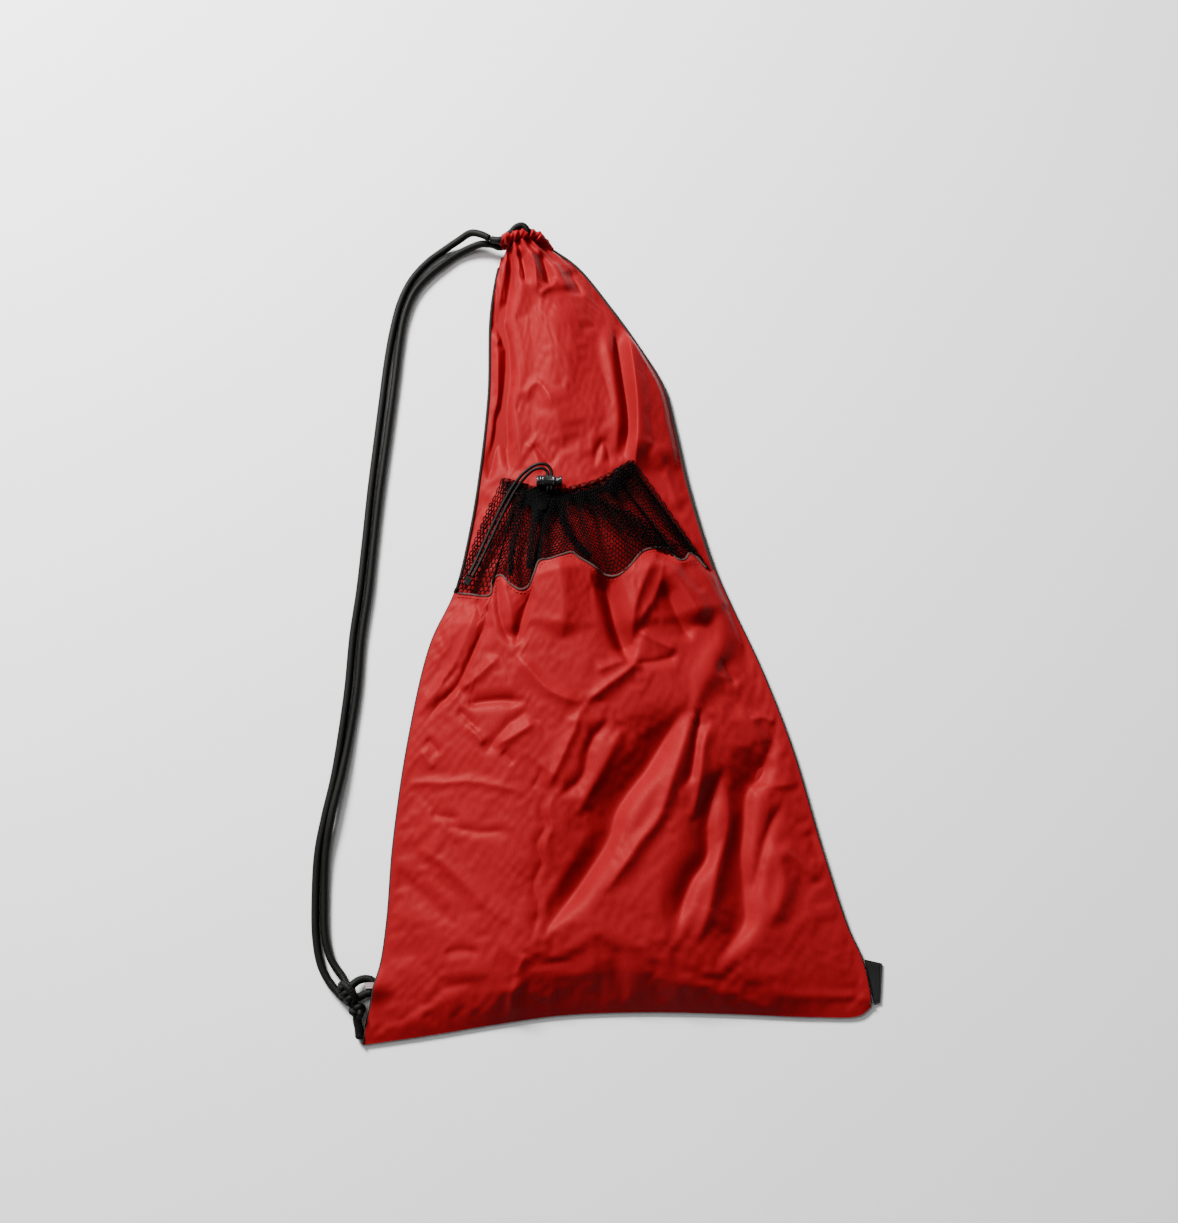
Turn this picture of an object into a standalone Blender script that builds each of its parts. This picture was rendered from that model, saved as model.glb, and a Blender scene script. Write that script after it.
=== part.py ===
"""Drawstring sack with a gathered mesh front pocket, lying empty on its back.

X runs to the right, Y towards the mouth and Z up from the floor. The routes are in
millimetres on the floor plan; MM turns them into metres. The origin is on the floor,
under the middle of the sack.
"""
import math

import bmesh
import bpy
from mathutils import Matrix, Vector

MM = 0.001

# Driving dimensions, in millimetres
PLAN_MIDDLE = Vector((-2.0, 0.5, 0.0))   # middle of the plan below, moved to the origin
PLY = 1.0                                # one layer of cloth with its seam allowance
GAP = 0.3                                # clearance between touching pieces
FRONT_RISE = (12.0, 14.0)                # height of the main hollow, at the bottom and the mouth
POCKET_RISE = 7.5                        # height of the pocket's hollow
BOTTOM_ROUND = 0.13                      # share of the height over which the bottom swells
TAPE_WIDTH = 3.0
TAPE_HEIGHT = 3.8
PANEL_INSET = TAPE_WIDTH + 1.2           # clear of the tape, whose facets fall elsewhere
CORD_RADIUS = 2.5
TAIL_RADIUS = 2.7                        # the cord's end, a little opened up
ELASTIC_RADIUS = 1.1
CHANNEL_RADIUS = 2.9                     # inside of the mouth's channel
CHANNEL_CLOTH = 0.7
HEM_RADIUS = 1.5                         # inside of the pocket's hem casing
HEM_CLOTH = 0.7
HEM_SLIT = 0.08                          # open share of a rolled hem's round
PUCKER = 0.35                            # how far a rolled hem's gathers stand out
PANEL_TOP = (0.985, 0.973)               # the back's and the front's end below the mouth's channel
TAPE_ENDS = (0.002, 0.965)               # as shares of the height

# The sack's outline on the floor, bottom left corner first
LEFT_SIDE = [(-164.5, -275), (-158, -257), (-153.2, -240), (-152.4, -222), (-151.5, -195),
             (-149.5, -151), (-141.5, -83), (-128.5, -19), (-113, 17), (-104, 58),
             (-98, 100), (-93, 157), (-92.5, 214), (-89, 243), (-84, 266)]
RIGHT_SIDE = [(154, -251), (152.5, -238), (149, -222), (140.5, -202), (125.5, -151),
              (108.5, -87), (89.5, -34), (71.5, 7), (60.5, 34), (44.5, 90), (35.5, 133),
              (28.5, 162), (11.5, 192), (-8.5, 222), (-31.5, 252), (-50, 266), (-62, 273)]
BOTTOM_SIDE = [(-164.5, -275), (-122, -269), (-85, -263), (-41.5, -257), (10, -255),
               (65, -256), (120, -258), (146, -257), (154, -251)]
MOUTH_SIDE = [(-84, 266), (-75, 271.5), (-62, 273)]

# The pocket, as shares of the sack's width and height
SEAM_HEIGHT = (0.543, 0.530)             # top of the pocket panel, at the left and right seam
HEM_ENDS = ((0.137, 0.661), (0.765, 0.647))   # top corners of the mesh band
HEM_SAG = 0.034                          # how far the lock draws the band's top down
HEM_DROP = 0.55                          # how far the hem pulls the pocket's hollow shut
POCKET_GAP = 0.7                         # pocket cloth above the front panel, at the seams
SEAM_GAP = 0.0015                        # half the gap between the pocket's panel and its mesh
BINDING_WIDTH = 0.007
BINDING_CLOTH = 0.6
BINDING_LIFT = 1.6                       # above the pocket cloth's underside
# The pocket's gathered hem, left half and right half
HEM_LEFT = [(-81, 92, 11), (-72, 89, 13.8), (-62, 84.5, 16.8), (-53.5, 81, 18.7)]
HEM_RIGHT = [(-42, 81, 18.9), (-33, 84, 19.2), (-20, 88, 18.8), (-7, 95, 17.4), (5, 104, 14.8)]

# The cord lock lies across the sack, its closed end on the left
LOCK_PLACE = (-58.5, 87.5, 23.5)
BARREL_LENGTH = 12.5
BARREL_RADIUS = 3.75
BARREL_BORE = 2.75
BARREL_FLOOR = 1.2
STEM_RADIUS = 2.45
STEM_START = 4.8
HEAD_START = 14.8
HEAD_END = 17.3
HEAD_RADIUS = 3.4
PLUNGER_TRAVEL = 2.0
CORD_WINDOW = (6.3, 11.7)                # along the lock, wide enough for two elastic strands
WINDOW_HEIGHT = 2.9
EDGE = 0.6                               # bevel of the moulded pieces
SPRING_TURNS = 4
SPRING_WIRE = 0.3
SPRING_RADIUS = 2.1
ROUND_STEPS = 24

# Free cords: routes along their middle, x, y and height
STRAP_OUTER = [(-92.0, 268.0, 13.1), (-98.2, 271.6, 12.2), (-106, 274, 9.8), (-115, 270, 6.2),
               (-125, 264, 3.4), (-136, 255.5, 2.6), (-147, 242, 2.6), (-154.5, 225, 2.6),
               (-159, 205, 2.6), (-162.5, 180, 2.6), (-165, 153, 2.6), (-168, 120, 2.6),
               (-171, 86, 2.6), (-173.5, 50, 2.6), (-176, 18, 2.6), (-179.5, -14, 2.6),
               (-181.5, -48, 2.6), (-184.5, -78, 2.6), (-188.5, -108, 2.6),
               (-193.5, -133, 2.6), (-197, -156, 2.6), (-197.5, -184, 2.6),
               (-196, -210, 2.6), (-192, -227, 2.6), (-185.5, -238, 3.0), (-181.7, -242, 3.6)]
STRAP_INNER = [(-92.0, 266.5, 7.5), (-98.6, 267.4, 6.4), (-106.5, 265.6, 4.2), (-116, 261, 2.6),
               (-126, 253.5, 2.6), (-137, 243.5, 2.6), (-145.5, 232, 2.6), (-151.5, 215, 2.6),
               (-154.5, 195, 2.6), (-156.5, 172, 2.6), (-159, 145, 2.6), (-162, 115, 2.6),
               (-165.3, 82, 2.6), (-167.9, 48, 2.6), (-170, 18, 2.6), (-173.7, -14, 2.6),
               (-175.5, -48, 2.6), (-178.7, -76, 2.7), (-183.4, -106, 4.4),
               (-188.6, -132, 5.4), (-191.8, -156, 3.8), (-191.9, -184, 2.6),
               (-190.3, -209, 2.6), (-186.3, -222, 2.8), (-180.7, -230.3, 3.4),
               (-178.2, -233.2, 4.0)]
CHANNEL_EXIT_FRONT = [(-90.5, 267.2, 13.5), (-87.2, 266.4, 15.2)]
CHANNEL_CORD_FRONT = [(-83.5, 266.8, 17.2), (-78, 269.6, 17.2), (-72, 271.9, 17.2),
                      (-66, 273, 17.2), (-61, 273.4, 17.0)]
CHANNEL_CORD_TURN = [(-56.5, 274.2, 14.6), (-54.8, 274.6, 10.6), (-56.5, 274.2, 6.6)]
CHANNEL_CORD_BACK = [(-61, 273.4, 4.5), (-66, 273, 4.4), (-72, 271.9, 4.4), (-78, 269.3, 4.4),
                     (-83.5, 266, 4.6)]
CHANNEL_EXIT_BACK = [(-87.2, 265.6, 6.1), (-90.5, 266.2, 7.4)]
KNOT_LOOP = [(-170.8, -238.2, 6.2), (-167.5, -235.2, 5.0), (-163.5, -234.6, 4.2),
             (-159.8, -235.6, 4.1), (-158.2, -238.9, 4.1), (-159.4, -242.2, 4.1),
             (-163, -243.6, 4.4), (-166.2, -245.2, 5.4)]
STRAP_TAIL = [(-168.0, -260.6, 4.2), (-167.1, -264.5, 3.4), (-166.7, -268, 2.9),
              (-166.5, -271.5, 2.8)]
HITCH_PLACE = (-174.5, -243.3, 6.0)
HITCH_RADII = (5.0, 6.6, 5.4)
HITCH_TURN = 28                          # degrees, seen from above
STOPPER_PLACE = (-167.9, -254.3, 5.6)
STOPPER_RADII = (5.8, 5.4, 5.2)
TAIL_LEFT = [(-52.2, 80.9, 18.9), (-51.1, 80.7, 19.9), (-50.7, 80.8, 21.6), (-50.7, 81.9, 23.2),
             (-50.7, 85.0, 23.5), (-50.7, 91.0, 23.6), (-51.6, 94.2, 24.0), (-54.8, 96.0, 24.5),
             (-59.5, 95.4, 24.0), (-65, 91.6, 21.8), (-71.5, 84.0, 18.4), (-77.8, 73.2, 15.6),
             (-84, 60.5, 13.6), (-90.3, 46.8, 11.9), (-96.2, 34, 11.1), (-101.0, 24.2, 10.8)]
TAIL_RIGHT = [(-43.2, 80.8, 18.9), (-45.8, 80.6, 19.3), (-47.9, 80.7, 21.2), (-48.3, 81.9, 23.1),
              (-48.3, 85.0, 23.5), (-48.3, 91.0, 23.6), (-48.9, 95.2, 24.0), (-51.9, 98.4, 24.7),
              (-58, 98.5, 24.8), (-65.4, 94.6, 22.6), (-73.2, 86.6, 18.8), (-80.1, 75.6, 15.4),
              (-86.6, 62.5, 13.0), (-92.9, 48.9, 11.2), (-98.6, 35.4, 11.0), (-103.2, 25.4, 10.8)]
TIP_PLACE = (-103.6, 21.8, 10.8)
TIP_TURN = -27                           # degrees, seen from above
TIP_SIZE = (4.6, 5.5, 2.6)
TAB_OUTER = (9.6, 8.0)                   # the webbing ring, along X and up
TAB_PLACE = (-158.9, -238.9, 4.1)
TAB_WIDTH = 3.4
TAB_CLOTH = 0.8
TAB_SLIT = 0.01                          # open share of the ring
LABEL_CORNERS = [(150.4, -222.5), (161.4, -225), (159, -249), (155.4, -250.5)]
LABEL_THICKNESS = 1.2
LABEL_LIFT = 0.4

RED = (0.42, 0.018, 0.016, 1)
DARK_RED = (0.24, 0.008, 0.010, 1)
BLACK = (0.012, 0.012, 0.010, 1)
GREY = (0.23, 0.21, 0.19, 1)
STEEL = (0.55, 0.55, 0.56, 1)


# ---------------------------------------------------------------- scene and materials
def clear_scene():
    for item in list(bpy.data.objects):
        bpy.data.objects.remove(item, do_unlink=True)
    for group in list(bpy.data.collections):
        bpy.data.collections.remove(group)


def new_collection(name):
    group = bpy.data.collections.new(name)
    bpy.context.scene.collection.children.link(group)
    return group


def finish_material(name, colour, roughness, metallic=0.0):
    surface = bpy.data.materials.new(name)
    surface.use_nodes = True
    shader = surface.node_tree.nodes["Principled BSDF"]
    shader.inputs["Base Color"].default_value = colour
    shader.inputs["Roughness"].default_value = roughness
    shader.inputs["Metallic"].default_value = metallic
    return surface


def put(item, name, material, group):
    """Name an object, give it its material and move it to its collection."""
    item.name = name
    item.data.name = name
    if material:
        item.data.materials.clear()
        item.data.materials.append(material)
    for old in list(item.users_collection):
        old.objects.unlink(item)
    group.objects.link(item)
    return item


# ---------------------------------------------------------------- routes
def on_plan(point):
    """A plan point in millimetres as a place in metres, about the origin."""
    x, y, *height = point
    return (Vector((x, y, height[0] if height else 0.0)) - PLAN_MIDDLE) * MM


class Route:
    """A smooth curve through hand-chosen points, read by its share of the length."""

    STEPS = 12

    def __init__(self, points):
        knots = [on_plan(point) for point in points]
        knots = [2 * knots[0] - knots[1]] + knots + [2 * knots[-1] - knots[-2]]
        self.places = [self.between(knots[i:i + 4], step / self.STEPS)
                       for i in range(len(knots) - 3) for step in range(self.STEPS)]
        self.places.append(knots[-2])
        self.reach = [0.0]
        for before, after in zip(self.places, self.places[1:]):
            self.reach.append(self.reach[-1] + (after - before).length)

    @staticmethod
    def between(knots, t):
        """Centripetal Catmull-Rom curve between the two middle knots."""
        times = [0.0]
        for before, after in zip(knots, knots[1:]):
            times.append(times[-1] + math.sqrt(max((after - before).length, 1e-9)))
        now = times[1] + (times[2] - times[1]) * t
        level = list(knots)
        for width in (1, 2, 3):
            for i in range(4 - width):
                low, high = (i, i + width) if width < 3 else (1, 2)
                share = (now - times[low]) / (times[high] - times[low])
                level[i] = level[i].lerp(level[i + 1], share)
        return level[0]

    @property
    def length(self):
        return self.reach[-1]

    def at(self, share):
        goal = min(max(share, 0.0), 1.0) * self.length
        i = 1
        while i < len(self.reach) - 1 and self.reach[i] < goal:
            i += 1
        span = self.reach[i] - self.reach[i - 1]
        return self.places[i - 1].lerp(self.places[i], (goal - self.reach[i - 1]) / span)

    def heading(self, share):
        return (self.at(share + 0.01) - self.at(share - 0.01)).normalized()


LEFT = Route(LEFT_SIDE)
RIGHT = Route(RIGHT_SIDE)
BOTTOM = Route(BOTTOM_SIDE)
MOUTH = Route(MOUTH_SIDE)


def mix(low, high, share):
    return low + (high - low) * share


def sack_point(u, v):
    """Floor place at share u from the left seam and v from the bottom (a Coons patch)."""
    sides = LEFT.at(v).lerp(RIGHT.at(v), u)
    ends = BOTTOM.at(u).lerp(MOUTH.at(u), v)
    corners = BOTTOM.at(0).lerp(BOTTOM.at(1), u).lerp(MOUTH.at(0).lerp(MOUTH.at(1), u), v)
    return sides + ends - corners


def inset(v, millimetres):
    """The share of the width that a distance from a side seam takes."""
    return millimetres * MM / (RIGHT.at(v) - LEFT.at(v)).length


def swell(u, v):
    """0 at the side seams and the bottom edge, 1 along the middle."""
    across = (1 - (2 * u - 1) ** 2) ** 1.25
    low = 1 - min(v / BOTTOM_ROUND, 1.0)
    return across * (1 - low * low)


def front_height(u, v):
    """Underside of the front panel, in millimetres."""
    return PLY + GAP + swell(u, v) * mix(*FRONT_RISE, v)


def pocket_height(u, v):
    """Underside of the pocket's own cloth, in millimetres."""
    return front_height(u, v) + PLY + POCKET_GAP + swell(u, v) * POCKET_RISE


# ---------------------------------------------------------------- shapes
def cloth(name, place, columns, rows, thickness, material, group):
    """A sheet given by place(s, t), thickened upwards into a closed shell."""
    mesh = bpy.data.meshes.new(name)
    sheet = bmesh.new()
    bmesh.ops.create_grid(sheet, x_segments=columns, y_segments=rows, size=0.5)
    for corner in sheet.verts:
        corner.co = place(corner.co.x + 0.5, corner.co.y + 0.5)
    sheet.to_mesh(mesh)
    sheet.free()
    item = bpy.data.objects.new(name, mesh)
    shell = item.modifiers.new("Cloth", "SOLIDIFY")
    shell.thickness = thickness * MM
    shell.offset = 1.0
    shell.use_even_offset = False
    mesh.shade_smooth()
    return put(item, name, material, group)


def rolled_hem(name, route, inside, thickness, turn, gathers, material, group, steps=8):
    """A hem rolled round its cord, open along a narrow slit, with gathers along it."""
    def place(s, t):
        middle = route.at(s)
        along = route.heading(s)
        side = along.cross(Vector((0, 0, 1))).normalized()
        up = side.cross(along)
        angle = math.radians(turn) + 2 * math.pi * mix(HEM_SLIT, 1 - HEM_SLIT, t)
        pucker = PUCKER * (1 + math.cos(2 * math.pi * gathers * s))
        radius = (inside + pucker) * MM
        return middle + (side * math.cos(angle) + up * math.sin(angle)) * radius

    return cloth(name, place, max(gathers * 4, 8), steps, thickness, material, group)


def cord(name, route, radius, material, group, spacing=2.0):
    """A plain round cord along a route, with a point every few diameters."""
    count = max(round(route.length / (2 * radius * MM * spacing)), 3)
    data = bpy.data.curves.new(name, "CURVE")
    data.dimensions = "3D"
    data.bevel_depth = radius * MM
    data.bevel_resolution = 2
    data.use_fill_caps = True
    spline = data.splines.new("POLY")
    spline.points.add(count)
    for i, point in enumerate(spline.points):
        point.co = (*route.at(i / count), 1.0)
    item = bpy.data.objects.new(name, data)
    return put(item, name, material, group)


def turned(name, profile, material, group):
    """A profile of (radius, height) pairs, top to bottom, turned about Z."""
    mesh = bpy.data.meshes.new(name)
    line = bmesh.new()
    corners = [line.verts.new((radius * MM, 0, height * MM)) for radius, height in profile]
    for first, second in zip(corners, corners[1:]):
        line.edges.new((first, second))
    line.to_mesh(mesh)
    line.free()
    item = bpy.data.objects.new(name, mesh)
    screw = item.modifiers.new("Turn", "SCREW")
    screw.steps = screw.render_steps = ROUND_STEPS
    screw.use_merge_vertices = True
    screw.merge_threshold = 0.00001
    return put(item, name, material, group)


def lump(name, place, radii, degrees, material, group):
    """A plain closed form for a knot."""
    mesh = bpy.data.meshes.new(name)
    ball = bmesh.new()
    bmesh.ops.create_uvsphere(ball, u_segments=14, v_segments=9, radius=1.0)
    ball.transform(Matrix.Diagonal(Vector((*radii, 1.0))) * MM)
    ball.to_mesh(mesh)
    ball.free()
    mesh.shade_smooth()
    item = bpy.data.objects.new(name, mesh)
    item.location = on_plan(place)
    item.rotation_euler.z = math.radians(degrees)
    return put(item, name, material, group)


def box_cutter(name, low, high, group):
    """A hidden block between two corners, in metres."""
    middle = (Vector(low) + Vector(high)) / 2
    bpy.ops.mesh.primitive_cube_add(size=1.0, location=middle)
    item = bpy.context.object
    item.scale = Vector(high) - Vector(low)
    item.hide_render = True
    item.display_type = "WIRE"
    return put(item, name, None, group)


def cut(item, cutter):
    hole = item.modifiers.new("Window", "BOOLEAN")
    hole.operation = "DIFFERENCE"
    hole.solver = "EXACT"
    hole.object = cutter


# ---------------------------------------------------------------- the sack's cloth
def make_back_panel(red, group):
    def place(s, t):
        v = mix(0, PANEL_TOP[0], t)
        edge = inset(v, PANEL_INSET)
        return sack_point(mix(edge, 1 - edge, s), v)

    cloth("back_panel", place, 12, 22, PLY, red, group)


def make_front_panel(red, group):
    def place(s, t):
        v = mix(0, PANEL_TOP[1], t)
        edge = inset(v, PANEL_INSET)
        u = mix(edge, 1 - edge, s)
        return sack_point(u, v) + Vector((0, 0, front_height(u, v) * MM))

    cloth("front_panel", place, 16, 26, PLY, red, group)


def seam_height(s):
    return mix(*SEAM_HEIGHT, s)


def make_pocket_panel(red, group):
    def place(s, t):
        v = mix(0, seam_height(s) - SEAM_GAP, t)
        edge = inset(v, PANEL_INSET)
        u = mix(edge, 1 - edge, s)
        return sack_point(u, v) + Vector((0, 0, pocket_height(u, v) * MM))

    cloth("pocket_panel", place, 16, 14, PLY, red, group)


def make_pocket_mesh(black, group):
    (left_u, left_v), (right_u, right_v) = HEM_ENDS

    def place(s, t):
        top = mix(left_v, right_v, s) - HEM_SAG * math.sin(math.pi * s ** 0.75)
        v = mix(seam_height(s) + SEAM_GAP, top, t)
        edge = inset(v, PANEL_INSET)
        u = mix(mix(edge, left_u, t), mix(1 - edge, right_u, t), s)
        height = pocket_height(u, v) - swell(u, v) * POCKET_RISE * HEM_DROP * t
        return sack_point(u, v) + Vector((0, 0, height * MM))

    cloth("pocket_mesh", place, 14, 7, PLY, black, group)


def make_seam_binding(grey, group):
    def place(s, t):
        v = seam_height(s) + BINDING_WIDTH * (t - 0.5)
        edge = inset(v, PANEL_INSET)
        u = mix(edge, 1 - edge, s)
        height = pocket_height(u, v) + BINDING_LIFT
        return sack_point(u, v) + Vector((0, 0, height * MM))

    cloth("pocket_seam_binding", place, 24, 1, BINDING_CLOTH, grey, group)


def make_seam_tapes(grey, group):
    """Binding folded over the layers' edges, down each side."""
    for name, outer, inner in (("left_seam_tape", 0, 1), ("right_seam_tape", 1, 0)):
        def place(s, t, outer=outer, left=outer < inner):
            v = mix(*TAPE_ENDS, t)
            width = inset(v, TAPE_WIDTH)
            return sack_point(s * width if left else 1 - (1 - s) * width, v)

        cloth(name, place, 1, 36, TAPE_HEIGHT, grey, group)


def make_mouth_channels(red, group):
    front = Route(CHANNEL_CORD_FRONT)
    back = Route(list(reversed(CHANNEL_CORD_BACK)))
    rolled_hem("mouth_channel_front", front, CHANNEL_RADIUS, CHANNEL_CLOTH, 270, 5, red, group)
    rolled_hem("mouth_channel_back", back, CHANNEL_RADIUS, CHANNEL_CLOTH, 90, 5, red, group)


def make_pocket_hem(red, black, group):
    for side, points, gathers in (("left", HEM_LEFT, 6), ("right", HEM_RIGHT, 9)):
        route = Route(points)
        rolled_hem("pocket_hem_" + side, route, HEM_RADIUS, HEM_CLOTH, 90, gathers,
                   red, group, steps=7)
        cord("pocket_elastic_" + side, route, ELASTIC_RADIUS, black, group, spacing=2.5)


# ---------------------------------------------------------------- cords and knots
def make_drawcord(black, group):
    route = Route(CHANNEL_EXIT_FRONT + CHANNEL_CORD_FRONT + CHANNEL_CORD_TURN
                  + CHANNEL_CORD_BACK + CHANNEL_EXIT_BACK)
    cord("drawcord", route, CORD_RADIUS, black, group, spacing=0.8)


def make_strap(black, group):
    cord("strap_outer", Route(STRAP_OUTER), CORD_RADIUS, black, group)
    cord("strap_inner", Route(STRAP_INNER), CORD_RADIUS, black, group)


def make_knots(black, group):
    lump("strap_hitch", HITCH_PLACE, HITCH_RADII, HITCH_TURN, black, group)
    lump("strap_stopper_knot", STOPPER_PLACE, STOPPER_RADII, 0, black, group)
    cord("strap_tail", Route(STRAP_TAIL), TAIL_RADIUS, black, group, spacing=0.8)
    cord("knot_loop", Route(KNOT_LOOP), CORD_RADIUS, black, group, spacing=0.6)


def make_webbing_tab(grey, group):
    """A ring of webbing round the knot's loop, sewn to the left seam."""
    wide, tall = TAB_OUTER

    def place(s, t):
        angle = 2 * math.pi * mix(1 - TAB_SLIT, TAB_SLIT, s)
        x = (wide / 2 - TAB_CLOTH) * math.cos(angle)
        z = (tall / 2 - TAB_CLOTH) * math.sin(angle)
        return on_plan(TAB_PLACE) + Vector((x, (t - 0.5) * TAB_WIDTH, z)) * MM

    cloth("webbing_tab", place, 20, 3, TAB_CLOTH, grey, group)


def make_elastic_tail(black, group):
    """The elastic's two free ends, through the lock and down over the mesh."""
    cord("elastic_tail_left", Route(TAIL_LEFT), ELASTIC_RADIUS, black, group, spacing=2.0)
    cord("elastic_tail_right", Route(TAIL_RIGHT), ELASTIC_RADIUS, black, group, spacing=2.0)


def make_elastic_tip(black, group):
    """The crimp that holds the elastic's two ends together."""
    mesh = bpy.data.meshes.new("elastic_tip")
    block = bmesh.new()
    bmesh.ops.create_cube(block, size=1.0)
    block.transform(Matrix.Diagonal(Vector((*TIP_SIZE, 1.0))) * MM)
    block.to_mesh(mesh)
    block.free()
    item = bpy.data.objects.new("elastic_tip", mesh)
    item.location = on_plan(TIP_PLACE)
    item.rotation_euler.z = math.radians(TIP_TURN)
    soft = item.modifiers.new("Round", "BEVEL")
    soft.width = EDGE * MM
    soft.segments = 2
    put(item, "elastic_tip", black, group)


# ---------------------------------------------------------------- cord lock
def lay_along_x(item):
    """Turned pieces stand on Z; the lock's axis lies along X."""
    item.rotation_euler.y = math.radians(90)
    item.location = on_plan(LOCK_PLACE)


def make_lock(black, steel, group, cutters):
    origin = on_plan(LOCK_PLACE)
    reach = 2 * BARREL_RADIUS * MM
    half = WINDOW_HEIGHT / 2 * MM
    barrel = turned("lock_barrel", [
        (0.0, BARREL_FLOOR), (BARREL_BORE, BARREL_FLOOR),
        (BARREL_BORE, BARREL_LENGTH), (BARREL_RADIUS - EDGE, BARREL_LENGTH),
        (BARREL_RADIUS, BARREL_LENGTH - EDGE), (BARREL_RADIUS, 1.0),
        (BARREL_RADIUS - 0.9, 0.1), (0.0, 0.0)], black, group)
    lay_along_x(barrel)
    low = origin + Vector((CORD_WINDOW[0] * MM, -reach, -half))
    high = origin + Vector((CORD_WINDOW[1] * MM, reach, half))
    cut(barrel, box_cutter("barrel_window", low, high, cutters))

    plunger = turned("lock_plunger", [
        (0.0, HEAD_END), (HEAD_RADIUS - EDGE, HEAD_END), (HEAD_RADIUS, HEAD_END - EDGE),
        (HEAD_RADIUS, HEAD_START), (STEM_RADIUS, HEAD_START), (STEM_RADIUS, STEM_START),
        (0.0, STEM_START)], steel, group)
    lay_along_x(plunger)
    high = origin + Vector(((CORD_WINDOW[1] + PLUNGER_TRAVEL) * MM, reach, half))
    cut(plunger, box_cutter("plunger_window", low, high, cutters))

    points = 12
    turns = SPRING_TURNS * points
    first, last = BARREL_FLOOR + 2 * GAP + SPRING_WIRE, STEM_START - GAP - SPRING_WIRE
    coil = []
    for i in range(turns + 1):
        angle = 2 * math.pi * i / points
        coil.append(Vector((mix(first, last, i / turns), SPRING_RADIUS * math.cos(angle),
                            SPRING_RADIUS * math.sin(angle))) * MM + origin)
    data = bpy.data.curves.new("lock_spring", "CURVE")
    data.dimensions = "3D"
    data.bevel_depth = SPRING_WIRE * MM
    data.bevel_resolution = 1
    data.use_fill_caps = True
    spline = data.splines.new("POLY")
    spline.points.add(turns)
    for point, place in zip(spline.points, coil):
        point.co = (*place, 1.0)
    put(bpy.data.objects.new("lock_spring", data), "lock_spring", steel, group)


# ---------------------------------------------------------------- label
def make_label(black, group):
    """A folded label held in the right seam, lying flat beside it."""
    top_in, top_out, low_out, low_in = [on_plan(point) for point in LABEL_CORNERS]

    def place(s, t):
        point = low_in.lerp(low_out, s).lerp(top_in.lerp(top_out, s), t)
        return point + Vector((0, 0, LABEL_LIFT * MM))

    cloth("side_label", place, 4, 6, LABEL_THICKNESS, black, group)


def main():
    clear_scene()
    sack = new_collection("stuff_sack")
    cutters = new_collection("cutters")
    red = finish_material("red_polyester", RED, 0.45)
    dark_red = finish_material("gathered_polyester", DARK_RED, 0.5)
    mesh_black = finish_material("black_mesh", BLACK, 0.7)
    cord_black = finish_material("black_cord", BLACK, 0.75)
    elastic_black = finish_material("black_elastic", BLACK, 0.6)
    plastic_black = finish_material("black_plastic", BLACK, 0.25)
    label_black = finish_material("woven_label", BLACK, 0.8)
    grey = finish_material("grey_tape", GREY, 0.85)
    steel = finish_material("steel", STEEL, 0.3, 1.0)
    make_back_panel(red, sack)
    make_front_panel(red, sack)
    make_pocket_panel(red, sack)
    make_pocket_mesh(mesh_black, sack)
    make_seam_binding(grey, sack)
    make_seam_tapes(grey, sack)
    make_mouth_channels(red, sack)
    make_pocket_hem(dark_red, elastic_black, sack)
    make_drawcord(cord_black, sack)
    make_strap(cord_black, sack)
    make_knots(cord_black, sack)
    make_webbing_tab(grey, sack)
    make_elastic_tail(elastic_black, sack)
    make_elastic_tip(elastic_black, sack)
    make_lock(plastic_black, steel, sack, cutters)
    make_label(label_black, sack)


main()
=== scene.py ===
"""Looks of a drawstring sack with a gathered mesh front pocket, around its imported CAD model.

The sack lies on its back, empty. Its plan is in millimetres, as in the CAD source: X to the
right, Y towards the mouth, Z up. on_plan() turns plan points into places in metres.
"""

import math

import bmesh
import bpy
import numpy as np
from mathutils import Matrix, Vector


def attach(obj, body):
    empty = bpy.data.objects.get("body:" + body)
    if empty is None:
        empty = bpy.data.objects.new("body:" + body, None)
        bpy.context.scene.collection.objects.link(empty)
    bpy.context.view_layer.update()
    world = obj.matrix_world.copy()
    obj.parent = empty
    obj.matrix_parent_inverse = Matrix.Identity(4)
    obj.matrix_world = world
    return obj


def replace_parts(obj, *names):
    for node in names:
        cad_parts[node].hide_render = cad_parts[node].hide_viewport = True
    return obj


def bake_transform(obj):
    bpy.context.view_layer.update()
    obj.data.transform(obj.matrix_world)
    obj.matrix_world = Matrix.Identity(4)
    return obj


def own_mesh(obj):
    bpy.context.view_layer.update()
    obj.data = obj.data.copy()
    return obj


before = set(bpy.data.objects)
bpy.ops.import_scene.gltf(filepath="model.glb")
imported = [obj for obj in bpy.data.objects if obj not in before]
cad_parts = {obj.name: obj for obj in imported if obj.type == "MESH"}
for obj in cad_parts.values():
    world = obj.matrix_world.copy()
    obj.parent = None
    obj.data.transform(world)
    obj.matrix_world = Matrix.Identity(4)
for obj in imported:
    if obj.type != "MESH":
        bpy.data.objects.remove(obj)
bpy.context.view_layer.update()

MM = 0.001
PLAN_MIDDLE = np.array([-2.0, 0.5, 0.0])  # the plan's point at the frame's origin

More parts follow.
